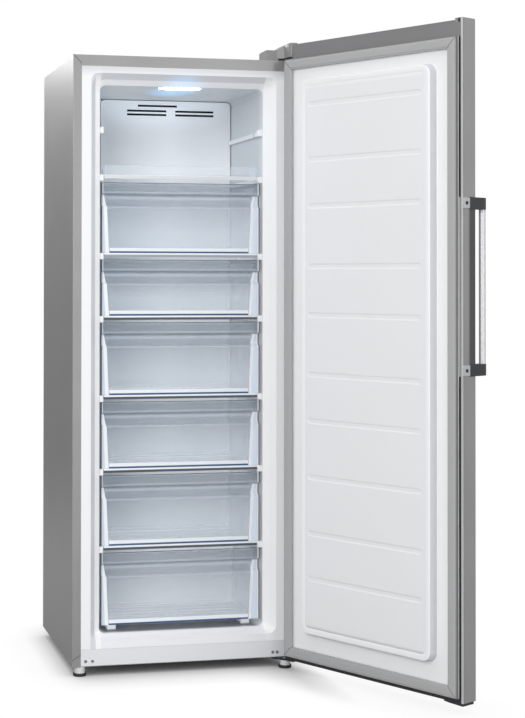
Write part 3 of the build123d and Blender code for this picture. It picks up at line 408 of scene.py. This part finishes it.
# each slot's left end, right end and height, in three rows
slot_rows = np.array([(-52.0, 62.0, 1517.0),
                      (-83.0, 31.0, 1502.6), (57.0, 169.0, 1502.6),
                      (-83.0, 31.0, 1491.8), (57.0, 169.0, 1491.8)])
slot_half = 2.9
panel_x, panel_z, corner = (-159.0, 219.2), (cover_bottom, 1531.3), 12.0
corner_cells, cell = 7, 20.0


def grid_lines(low, high, slot_edges, inner_lines):
    """The lines of the panel's grid: close together in both corners, along each slot, and even between."""
    return np.unique(np.concatenate([np.linspace(low, low + corner, corner_cells),
                                     np.linspace(high - corner, high, corner_cells), slot_edges, inner_lines]))


columns = grid_lines(*panel_x, slot_rows[:, :2].ravel(), np.arange(-140.0, 201.0, cell))
levels = grid_lines(*panel_z, np.concatenate([slot_rows[:, 2] - slot_half, slot_rows[:, 2] + slot_half]),
                    np.arange(panel_z[0] + 30, 1480.0, cell))


def rounded(values, low, high):
    """How far each value runs into the corner at either end, from -1 to 1, and 0 between the corners."""
    return np.clip((values - high + corner) / corner, 0, 1) - np.clip((low + corner - values) / corner, 0, 1)


u, v = np.meshgrid(rounded(columns, *panel_x), rounded(levels, *panel_z))
flat_x, flat_z = np.meshgrid(columns, levels)
# in a corner the square grid is pressed into a quarter disc: x by sqrt(1 - v^2 / 2), z by sqrt(1 - u^2 / 2)
flat_x = flat_x + corner * u * (np.sqrt(1 - v * v / 2) - 1)
flat_z = flat_z + corner * v * (np.sqrt(1 - u * u / 2) - 1)
panel_face = np.stack([flat_x + cabinet_middle, np.full_like(flat_x, cover_front), flat_z], axis=-1)
middle_x, middle_z = (columns[:-1] + columns[1:]) / 2, (levels[:-1] + levels[1:]) / 2
holes = np.zeros((len(middle_z), len(middle_x)), bool)
for low, high, slot_level in slot_rows:
    in_row = (np.abs(middle_z - slot_level) < slot_half)[:, None]
    holes |= in_row & ((middle_x > low) & (middle_x < high))[None, :]
rear_panel = surface("rear_panel", panel_face / 1000.0, panel_white, "cabinet", smooth=False,
                     holes=holes)
rear_panel.data.materials.append(slot_shade_black)
fold = rear_panel.modifiers.new("fold", "SOLIDIFY")
fold.thickness = 0.0098
fold.offset = 1.0
fold.material_offset_rim = 1


def upright_sheet(name, span_x, y, span_z, material):
    """An upright rectangle that faces the front of the cabinet."""
    sheet_x, sheet_z = np.meshgrid(span_x, span_z)
    points = np.stack([sheet_x, np.full_like(sheet_x, y), sheet_z], axis=-1)
    return surface(name, points / 1000.0, material, "cabinet", smooth=False)


strip_x, strip_top, strip_step = np.array([-221.0, -156.5]) + cabinet_middle, 1533.0, 7.0
strip = upright_sheet("duct_strip", strip_x, cover_front + strip_step, (panel_z[0], strip_top), panel_white)
thick = strip.modifiers.new("thick", "SOLIDIFY")
thick.thickness = 0.0028
thick.offset = 1.0
tree = panel_white.node_tree
# painted light: a lighter band across the panel from 1.26 m to 1.37 m up, and a painted glow near its top below
# the lamp
tinted(panel_white, [(band(tree, where(tree)["Z"], 1.26, 1.37, 0.04), (0.95, 0.955, 0.965))])
painted_glow(panel_white, (lens_middle[0], cover_front / 1000.0, 1.56), (0.34, 0.1, 0.15), 0.29, (0.74, 0.88, 1.0))
# painted shade: a black sheet behind the slots stands for the dark inside them and closes the view through them
shade_sheet_x, shade_sheet_z, shade_sheet_step = np.array([-87.0, 173.0]) + cabinet_middle, (1486.0, 1524.0), 10.2
shade_sheet = upright_sheet("painted_slot_shade", shade_sheet_x, cover_front + shade_sheet_step, shade_sheet_z, slot_shade_black)
for piece in (rear_panel, strip, shade_sheet):
    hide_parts("evaporator_cover")


# ---- Shelves --------------------------------------------------------------------------------
# Toughened glass with a moulded front edge: white on the top shelf, clear on those below.
def let_light_in(tree, cover, stopped=0.0):
    """Sets how much a clear finish covers, and lets lamps shine through it, except where it is stopped."""
    path = tree.nodes.new("ShaderNodeLightPath")
    passed = reckon(tree, "MULTIPLY", path.outputs["Is Shadow Ray"], reckon(tree, "SUBTRACT", 1.0, stopped))
    lit = reckon(tree, "SUBTRACT", cover, passed)
    lit.node.use_clamp = True
    tree.links.new(lit, tree.nodes["Principled BSDF"].inputs["Alpha"])


def edge_on(tree):
    """How far a face is turned away from the eye, from 0 to 1."""
    angle = tree.nodes.new("ShaderNodeLayerWeight")
    angle.inputs["Blend"].default_value = 0.35
    return angle.outputs["Facing"]


def see_through(material, cover, edge_cover):
    """Lets a finish through, less so where it is seen edge on."""
    tree = material.node_tree
    let_light_in(tree, remap(tree, edge_on(tree), end=(cover, edge_cover)))
    return material


pane = see_through(finish("shelf_pane", (0.62, 0.74, 0.78), 0.08, grain=60.0, relief=0.01), 0.06, 0.4)
dress(pane, *[f"shelf_glass_{i}" for i in range(1, 7)])
rim_plastic = finish("rim_plastic", (0.84, 0.86, 0.89), 0.22, grain=400.0, relief=0.02, mottle=0.02)
tree = rim_plastic.node_tree
z = where(tree)["Z"]
# painted shade: a dark band across each lower rim just below its glass, lighter on the second shelf
for shelf in range(2, 7):
    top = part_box(f"shelf_glass_{shelf}")[1][2]
    tone = (0.33, 0.37, 0.42) if shelf == 2 else (0.085, 0.10, 0.125)
    tinted(rim_plastic, [(band(tree, z, top - 0.012, top - 0.0042, 0.0005), tone)])
# painted shade: the rim between 1.2 m and 1.4 m up is greyer
tinted(rim_plastic, [(band(tree, z, 1.2, 1.4), (0.70, 0.72, 0.75))])
dress(rim_plastic, "shelf_rims")
soften(0.0008, "shelf_rims")
guard_clear = see_through(finish("guard_clear", (0.72, 0.79, 0.88), 0.08, grain=300.0, relief=0.02), 0.16, 0.7)
dress(guard_clear, "shelf_guard")
soften(0.0006, "shelf_guard")


# ---- Drawers --------------------------------------------------------------------------------
# Clear polystyrene with a faint blue cast. Each front has a lip, a pocket for the fingers and a window in a
# frosted frame. Light and shade on it are painted, and its cut edges are painted dark blue for the light they
# gather.
pale_liner = np.array([0.54, 0.58, 0.65])
front_width = 431.0                     # millimetres, as are the other lengths on a front
front_left = (cabinet_middle - front_width / 2) / 1000.0
pocket_low = 66.0                       # down from the front's top to the bottom of the pocket
edge_width = 5.6
tub_rib_pitch = 26.0
# the greys of the six fronts, which are one moulding in six heights, are painted light and shade: the lip in
# painted shade with a painted highlight along its top, a painted highlight line under it, painted shade and a
# painted lit band in the pocket, and a window painted lighter towards the bottom
lip, line, dark, middle, shadow = 160, 180, 150, 190, 170
window_high, window_low, frame = 180, 200, 220


def clear_tone(grey, cover, cast=12.0):
    """Colour and cover of a clear sheet that looks a wanted grey before the pale liner, through both faces."""
    wanted = (np.array([grey - 0.8 * cast, grey, grey + cast]) / 255.0) ** 2.2
    through = (1.0 - cover) ** 2
    return (*np.clip((wanted - through * pale_liner) / (0.95 * (1.0 - through)), 0.01, 0.95), cover)


def front_plastic(number, floor, height):
    """A drawer front's finish: bands of painted light and shade down its height, a frosted frame that leans in,
    and edges painted dark for shade and edge light.
    """
    material = finish(f"front_plastic_{number}", (0.78, 0.83, 0.90), 0.1, grain=300.0, relief=0.02, mottle=0.02)
    tree = material.node_tree
    x, _, z = where(tree)
    down = reckon(tree, "DIVIDE", reckon(tree, "SUBTRACT", (floor + height) / 1000.0, z), height / 1000.0)
    blue = clear_tone(92, 0.8)
    white, grey = clear_tone(frame + 14, 0.85, 4.0), clear_tone(176, 0.4)
    sky, pale = clear_tone(208, 0.55), clear_tone(228, 0.65)
    black, line_blue = clear_tone(60, 0.9), (0.05, 0.11, 0.24, 0.85)
    bands = [(0.0, blue), (1.2, blue), (2.0, clear_tone(lip + 22, 0.4)), (3.6, clear_tone(lip + 16, 0.4)),
             (4.6, clear_tone(lip, 0.35)), (22.0, clear_tone(lip, 0.35)), (25.0, clear_tone(line, 0.4)),
             (27.4, clear_tone(line, 0.4)), (29.2, clear_tone(dark, 0.5)), (33.4, clear_tone(dark, 0.5)),
             (36.0, clear_tone((dark + middle) / 2, 0.4)), (39.0, clear_tone(middle, 0.4)),
             (42.0, clear_tone(middle, 0.4)), (45.0, clear_tone(shadow, 0.35)),
             (61.0, clear_tone(shadow, 0.35)), (63.6, clear_tone(middle, 0.4)),
             (pocket_low, clear_tone(middle, 0.4)), (68.0, clear_tone(window_high, 0.22)),
             (height - 45.0, clear_tone(window_low, 0.18)),
             (height - 13.8, clear_tone(window_low, 0.18)), (height - 12.6, white), (height - 4.8, white),
             (height - 4.0, line_blue), (height, line_blue)]
    colour, cover = stripes(tree, down, height, bands)
    drop = reckon(tree, "MULTIPLY", down, height)
    below_pocket = reckon(tree, "SUBTRACT", drop, pocket_low)
    lean = reckon(tree, "MULTIPLY", below_pocket, 5.0 / (height - 80.0))
    taper = reckon(tree, "MULTIPLY", reckon(tree, "MINIMUM", below_pocket, 0.0), 0.15)
    leaning = reckon(tree, "ADD", lean, taper)
    below_lip = remap(tree, drop, (28.0, 34.0))
    from_left = reckon(tree, "MULTIPLY", reckon(tree, "SUBTRACT", x, front_left), 1000.0)
    from_right = reckon(tree, "SUBTRACT", front_width, from_left)
    # at each side the outer strip is painted black, as the shade of the gap beside the drawer
    for distance, frames, edges in (
            (from_left, [(edge_width, sky), (6.6, white), (15.4, white), (16.2, grey)],
             [(0.0, black), (2.2, black), (2.8, sky), (edge_width, sky)]),
            (from_right, [(edge_width, pale), (16.5, pale), (18.5, white), (23.8, white), (24.8, grey)],
             [(0.0, black), (2.6, black), (3.2, white), (5.0, white)])):
        # the frame ends where its distance from the edge passes its leaning inner side
        inner = frames[-1][0]
        past = reckon(tree, "SUBTRACT", distance, leaning)
        near = reckon(tree, "MAXIMUM", past, reckon(tree, "MINIMUM", distance, edge_width))
        frame_tones = stripes(tree, reckon(tree, "DIVIDE", near, front_width), front_width, frames)
        frame_mask = reckon(tree, "MULTIPLY", band(tree, past, -200.0, inner + 0.8, 0.3), below_lip)
        edge_tones = stripes(tree, reckon(tree, "DIVIDE", distance, front_width), front_width, edges)
        edge_mask = band(tree, distance, -5.0, edge_width, 0.3)
        for mask, (over, over_cover) in ((frame_mask, frame_tones), (edge_mask, edge_tones)):
            colour = blend(tree, mask, colour, over, "RGBA")
            cover = blend(tree, mask, cover, over_cover)
    tree.links.new(colour, tree.nodes["Principled BSDF"].inputs["Base Color"])
    let_light_in(tree, cover)
    return material


def tub_plastic(number, floor):
    """A tub's finish: clear, a little denser edge on, with the ribs of its floor showing as pale lines."""
    material = finish(f"tub_plastic_{number}", (0.94, 0.95, 0.97), 0.1, grain=300.0, relief=0.02)
    tree = material.node_tree
    _, y, z = where(tree)
    rib = reckon(tree, "FRACT", reckon(tree, "MULTIPLY", y, 1000.0 / tub_rib_pitch))
    ribs = patch(tree, (rib, 0.3, 0.62, 0.12), (z, 0.0, (floor + 6.0) / 1000.0))
    clear = reckon(tree, "ADD", reckon(tree, "MULTIPLY", edge_on(tree), 0.5), 0.04)
    # the underside of the lowest tub is frosted and shades the liner's floor
    lowest = 1.0 if number == 6 else 0.0
    underside = reckon(tree, "MULTIPLY", band(tree, z, 0.0, (floor + 4.0) / 1000.0), lowest)
    frosted = reckon(tree, "MAXIMUM", clear, reckon(tree, "MULTIPLY", ribs, 0.7))
    let_light_in(tree, reckon(tree, "MAXIMUM", frosted, reckon(tree, "MULTIPLY", underside, 0.6)), underside)
    return material


# each drawer's floor above the ground and the height of its front
for number, (floor_level, height) in enumerate(((1094.5, 185.0), (929.5, 147.0), (721.5, 190.0), (529.5, 174.0),
                                                (327.5, 184.0), (120.5, 189.0)), 1):
    dress(front_plastic(number, floor_level, height), f"drawer_front_{number}")
    dress(tub_plastic(number, floor_level), f"drawer_tub_{number}")
    soften(0.0006, f"drawer_front_{number}", f"drawer_tub_{number}")

# ---- Door -----------------------------------------------------------------------------------
# Silver steel folded round the front and edges, dark moulded caps above and below. The door's steel
# is the cabinet's silver painted lighter, as painted light.
cap_grey = finish("cap_grey", (0.23, 0.23, 0.235), 0.42, grain=900.0, relief=0.08, mottle=0.03)
dress(cap_grey, "door_top_cap")
cap_dark = finish("cap_dark", (0.03, 0.03, 0.034), 0.45, grain=900.0, relief=0.08, mottle=0.04)
dress(cap_dark, "door_bottom_cap")
groove_black = finish("groove_black", (0.012, 0.013, 0.016), 0.5, grain=900.0, relief=0.05, mottle=0.04)
dress(groove_black, "door_side_trim")
soften(0.0008, "door_top_cap", "door_bottom_cap")
hinge = np.array([0.1231, -0.0068])
hinge_on_door = (286.1, -29.8)          # the same axis on the shut door, in millimetres
swing = np.radians(117.7)


def shut_place(tree):
    """The x, y and z of a point of the door as if it were shut, measured from the axis of its hinge."""
    place = tree.nodes.new("ShaderNodeTexCoord")
    turned = tree.nodes.new("ShaderNodeMapping")
    turned.vector_type = "TEXTURE"
    turned.inputs["Location"].default_value = (*hinge, 0.0)
    turned.inputs["Rotation"].default_value = (0.0, 0.0, swing)
    tree.links.new(place.outputs["Object"], turned.inputs["Vector"])
    split = tree.nodes.new("ShaderNodeSeparateXYZ")
    tree.links.new(turned.outputs["Vector"], split.inputs[0])
    return split.outputs


def on_open_door(x, y, z):
    """Points of the shut door, in millimetres from the cabinet's front, turned to where it stands open."""
    dx = (np.asarray(x, float) - hinge_on_door[0]) / 1000.0
    dy = (np.asarray(y, float) - hinge_on_door[1]) / 1000.0
    east = hinge[0] + dx * np.cos(swing) - dy * np.sin(swing)
    north = hinge[1] + dx * np.sin(swing) + dy * np.cos(swing)
    return np.stack(np.broadcast_arrays(east, north, np.asarray(z, float) / 1000.0), axis=-1)


# painted light: the cabinet's silver steel, made lighter for the door
door_steel = finish("door_steel", (0.50, 0.50, 0.50), 0.4, metallic=0.8, grain=1400.0, relief=0.04)
tree = door_steel.node_tree
x, y, z = shut_place(tree)
free_edge = (x, -0.7, -0.5705)
outer_face = (x, -0.7, -0.5790)
for spans, tone in (
        # a painted highlight on the hem of the free edge, painted shade on the fold behind it and a fine line
        # of painted shade before it
        (((y, 0.0152, 0.1), outer_face), (1.0, 1.0, 1.0)),
        (((y, 0.0170, 0.1), (x, -0.5786, -0.5705)), (0.10, 0.10, 0.10)),
        (((y, 0.0130, 0.0148), outer_face), (0.28, 0.28, 0.28)),
        # the shade of the handle
        (((y, -0.040, -0.007, 0.004), (z, 0.797, 1.222, 0.002), free_edge), (0.16, 0.16, 0.165))):
    tinted(door_steel, [(patch(tree, *spans), tone)])
dress(door_steel, "door_panel")

# ---- Door liner -------------------------------------------------------------------------------
# A vacuum-formed sheet: a flat flange, a raised middle with a soft shoulder, and inside it a
# slightly sunk panel with ten shallow grooves. Its sizes are those of the shut door, in millimetres.
door_white = finish("door_white", (0.895, 0.90, 0.915), 0.3, grain=420.0, relief=0.03, mottle=0.01)
flange_level = -12.0
corner_points = 24


def rounded_rectangles(low_x, high_x, low_z, high_z, radius):
    """Rings of a rounded rectangle, one row for each set of limits, with the same number of points."""
    low_x, high_x, low_z, high_z, radius = (np.asarray(v, float)[:, None] for v in
                                            (low_x, high_x, low_z, high_z, radius))
    angle = np.linspace(0.0, np.pi / 2, corner_points)[None, :]
    corners = []
    for i, (x, z) in enumerate(((high_x - radius, high_z - radius), (low_x + radius, high_z - radius),
                                (low_x + radius, low_z + radius), (high_x - radius, low_z + radius))):
        corners.append((x + radius * np.cos(angle + i * np.pi / 2), z + radius * np.sin(angle + i * np.pi / 2)))
    return np.hstack([c[0] for c in corners]), np.hstack([c[1] for c in corners])


# inset from the raised middle's edge, height above the flange and corner radius, from outside in
shoulder = np.array([(-5.2, 0.0, 27.0), (-4.4, 0.05, 26.6), (-3.7, 0.4, 26.3), (-3.2, 1.2, 26.0),
                     (-2.8, 2.6, 26.0), (-2.5, 4.4, 26.0), (-0.9, 19.6, 25.0), (-0.6, 21.4, 24.5),
                     (-0.1, 22.8, 24.0), (0.7, 23.8, 23.5), (1.8, 24.35, 22.5), (3.0, 24.5, 21.0),
                     (12.0, 24.5, 14.0), (13.0, 24.38, 13.2), (14.0, 24.1, 12.6), (15.0, 23.82, 12.0),
                     (16.0, 23.7, 11.0), (17.0, 23.3, 10.0)])
# the same for the flange's own edge, which is turned down
hem = np.array([(0.0, -2.2, 1.0), (0.0, -0.4, 1.0), (0.4, 0.0, 1.0), (1.2, 0.0, 1.0)])
flange_x, flange_z = (-285.4, 290.9), (36.4, 1604.0)
edge_x, edge_z = (-216.8, 216.8), (113.0, 1543.0)
low_x, low_z = (np.concatenate([flange[0] + hem[:, 0], edge[0] + shoulder[:, 0]])
                for flange, edge in ((flange_x, edge_x), (flange_z, edge_z)))
high_x, high_z = (np.concatenate([flange[1] - hem[:, 0], edge[1] - shoulder[:, 0]])
                  for flange, edge in ((flange_x, edge_x), (flange_z, edge_z)))
rise, radius = (np.concatenate([hem[:, column], shoulder[:, column]]) for column in (1, 2))
# painted light: the rim is the same sheet as the middle, made lighter
rim_white = finish("rim_white", (0.95, 0.955, 0.965), 0.3, grain=420.0, relief=0.03, mottle=0.01)
tree = rim_white.node_tree
# painted shade on the flanks of the raised middle
flank = band(tree, shut_place(tree)["Y"], 0.0192, 0.0409, 0.0006)
tinted(rim_white, [(flank, (0.68, 0.70, 0.735))])
ring_x, ring_z = rounded_rectangles(low_x, high_x, low_z, high_z, radius)
ring_points = on_open_door(ring_x, flange_level + rise[:, None] + 0.0 * ring_x, ring_z)
door_rim = surface("door_liner_rim", ring_points, rim_white, "door", loop_v=True)

# the sunk panel: each groove is a trough with round ends, whose sides follow the cubic 3 t^2 - 2 t^3
sunk_level, sunk_x, sunk_z = 23.7, (-203.0, 203.1), (127.0, 1529.0)
groove_reach, groove_radius, groove_side, groove_depth = 191.0, 7.5, 3.4, 1.35
groove_shares = (0.1, 0.1815, 0.2822, 0.3832, 0.4668, 0.5741, 0.6617, 0.7702, 0.8545, 0.9545)
grooves = np.array([edge_z[0] + (edge_z[1] - edge_z[0]) * share for share in groove_shares])
near_groove = np.arange(-11.0, 11.01, 1.0)
near_end = np.arange(0, 24.0) - 12
even_rows, column_step = 128, 11.6
rows = np.unique(np.round(np.concatenate([np.linspace(*sunk_z, even_rows),
                                          (grooves[:, None] + near_groove).ravel()]), 2))
columns = np.unique(np.round(np.concatenate([np.arange(*sunk_x, column_step), groove_reach + near_end,
                                             -groove_reach - near_end]), 2))
column, row = np.meshgrid(columns, rows)
off_row = np.abs(row[..., None] - grooves).min(axis=-1)
past_end = np.maximum(np.abs(column) - (groove_reach - groove_radius), 0.0)
depth = np.clip((groove_radius - np.hypot(past_end, off_row)) / groove_side, 0.0, 1.0)
depth = groove_depth * depth * depth * (3.0 - 2.0 * depth)
panel_points = on_open_door(column, flange_level + sunk_level - depth, row)
door_middle = surface("door_liner_middle", panel_points, door_white, "door")
for piece in (door_rim, door_middle):
    skin = piece.modifiers.new("skin", "SOLIDIFY")
    skin.thickness = 0.00025
    skin.offset = -1.0
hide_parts("door_liner")
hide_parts("door_liner")

# ---- Seal ---------------------------------------------------------------------------------------
# A soft grey extrusion with a neck, a rounded bulb over the magnet and fine ridges, welded from
# four lengths that meet in mitres at the corners.
seal_grey = finish("seal_grey", (0.45, 0.45, 0.455), 0.55, grain=1200.0, relief=0.1, mottle=0.03)


def inside_edge(tree, value, middle, half):
    """How far a point lies inside the seal's outer edge, along one axis."""
    return reckon(tree, "SUBTRACT", half, reckon(tree, "ABSOLUTE", reckon(tree, "SUBTRACT", value, middle)))


tree = seal_grey.node_tree
x, _, z = shut_place(tree)
inward_x = inside_edge(tree, x, -0.28355, 0.28905)      # from the axis of the hinge, as if the door were shut
inward_z = inside_edge(tree, z, 0.8202, 0.7833)
mitre = band(tree, reckon(tree, "SUBTRACT", inward_x, inward_z), -0.0011, 0.0011, 0.0005)
# painted shade: dark lines along the seal's outer edge and, on its upright sides, in the groove beside it; the
# dark mitres are its welds
tinted(seal_grey, [(mitre, (0.14, 0.14, 0.145)), (band(tree, inward_x, -0.001, 0.0012), (0.16, 0.16, 0.165)),
                   (band(tree, inward_x, 0.0030, 0.0040), (0.26, 0.26, 0.265)),
                   (band(tree, inward_z, -0.001, 0.0012), (0.16, 0.16, 0.165))])
# the seal's outline across, from outside in, and its height above the liner's flange, in millimetres
section = np.array([(4.0, 0.15), (3.2, 2.4), (0.8, 2.7), (0.1, 3.6), (0.0, 6.0), (0.1, 8.8), (0.9, 10.0),
                    (2.2, 10.3), (3.3, 9.9), (4.0, 10.3), (4.6, 11.2), (5.8, 11.65), (9.0, 11.7), (18.0, 11.7),
                    (21.6, 11.65), (22.9, 11.2), (23.6, 10.3), (24.3, 9.9), (25.4, 10.3), (26.7, 10.0),
                    (27.4, 8.8), (27.5, 6.0), (27.4, 3.6), (26.7, 2.7), (24.3, 2.4), (23.5, 0.15)])
seal_x, seal_z = (-286.5, 291.6), (36.9, 1603.5)
across, above_flange = section.T
west, east = seal_x[0] + across, seal_x[1] - across
south, north = seal_z[0] + across, seal_z[1] - across
# a weld is a shallow dip between two stations just before and after each corner
weld_reach, weld_dip, weld_above = 1.2, 0.45, 2.0
mitre_corners = (((west, south), (0, -1), (1, 0)), ((east, south), (1, 0), (0, 1)),
                 ((east, north), (0, 1), (-1, 0)), ((west, north), (-1, 0), (0, -1)))
stations = []
for (x, z), (dx_in, dz_in), (dx_out, dz_out) in mitre_corners:
    for dx, dz, dip in ((-dx_in, -dz_in, 0.0), (0, 0, weld_dip), (dx_out, dz_out, 0.0)):
        welded = above_flange - dip * (above_flange > weld_above)
        stations.append((x + weld_reach * dx, welded, z + weld_reach * dz))
along_x, raised, along_z = (np.array(values) for values in zip(*stations))
seal_points = on_open_door(along_x, flange_level + raised, along_z)
seal = surface("door_seal", seal_points[:, ::-1], seal_grey, "door", loop_u=True, loop_v=True,
               smooth=False)
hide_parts("door_gasket")

# ---- Handle -----------------------------------------------------------------------------------
# A satin aluminium bar held by two dark blocks, which are screwed to the door's edge.
bar_metal = finish("bar_metal", (0.66, 0.66, 0.68), 0.5, metallic=0.5, grain=900.0, relief=0.015, mottle=0.01,
                   stretch=(1, 1, 0.02))
dress(bar_metal, "handle_bar")
plate_grey = finish("plate_grey", (0.55, 0.56, 0.57), 0.4, metallic=0.3, grain=1200.0, relief=0.05)
dress(plate_grey, "handle_plates")
block_dark = finish("block_dark", (0.045, 0.046, 0.05), 0.38, grain=1000.0, relief=0.06)
dress(block_dark, "handle_brackets")
soften(0.0008, "handle_brackets", "handle_plates")
dark_zinc = finish("dark_zinc", (0.08, 0.08, 0.09), 0.4, metallic=0.8, grain=800.0, relief=0.05, mottle=0.05)
dress(dark_zinc, "handle_screws")

# ---- Hinges, screws and feet --------------------------------------------------------------------
# Black steel brackets, a grey moulded hood over the upper one, zinc-plated screws and pins, and
# black glides on the floor, the front pair in pale sleeves.
hood_grey = finish("hood_grey", (0.27, 0.27, 0.275), 0.34, grain=900.0, relief=0.06)
dress(hood_grey, "top_hinge_cover")
soften(0.001, "top_hinge_cover")
black_steel = finish("black_steel", (0.02, 0.02, 0.022), 0.3, metallic=0.2, grain=700.0, relief=0.05)
dress(black_steel, "top_hinge_bracket", "bottom_hinge_bracket")
bright_zinc = finish("bright_zinc", (0.5, 0.5, 0.5), 0.3, metallic=1.0, grain=800.0, relief=0.05, mottle=0.05)
dress(bright_zinc, "hinge_screws", "hinge_pins", "kick_screws")
sleeve_white = finish("sleeve_white", (0.78, 0.78, 0.79), 0.35, metallic=0.2, grain=800.0, relief=0.05)
dress(sleeve_white, "foot_sleeve_left", "foot_sleeve_right")
glide_black = finish("glide_black", (0.02, 0.02, 0.02), 0.5, grain=900.0, relief=0.08)
dress(glide_black, "foot_pad_left", "foot_pad_right", "rear_feet")

# ---- Cooling parts and insulation ---------------------------------------------------------------
# Bare aluminium fins and tubes behind the rear panel, black fittings round them and in the bay
# below, and yellowish rigid foam in every wall.
bare_metal = finish("bare_metal", (0.6, 0.6, 0.61), 0.4, metallic=1.0, grain=500.0, relief=0.05)
dress(bare_metal, "evaporator_coil", "condenser")
dress(black_steel, "compressor")
dress(glide_black, "relay_box", "compressor_mounts", "drip_tray", "fan_motor", "fan")
foam_cream = finish("foam_cream", (0.75, 0.64, 0.38), 0.9, grain=350.0, relief=0.5, mottle=0.06)
dress(foam_cream, "insulation_foam", "door_foam")
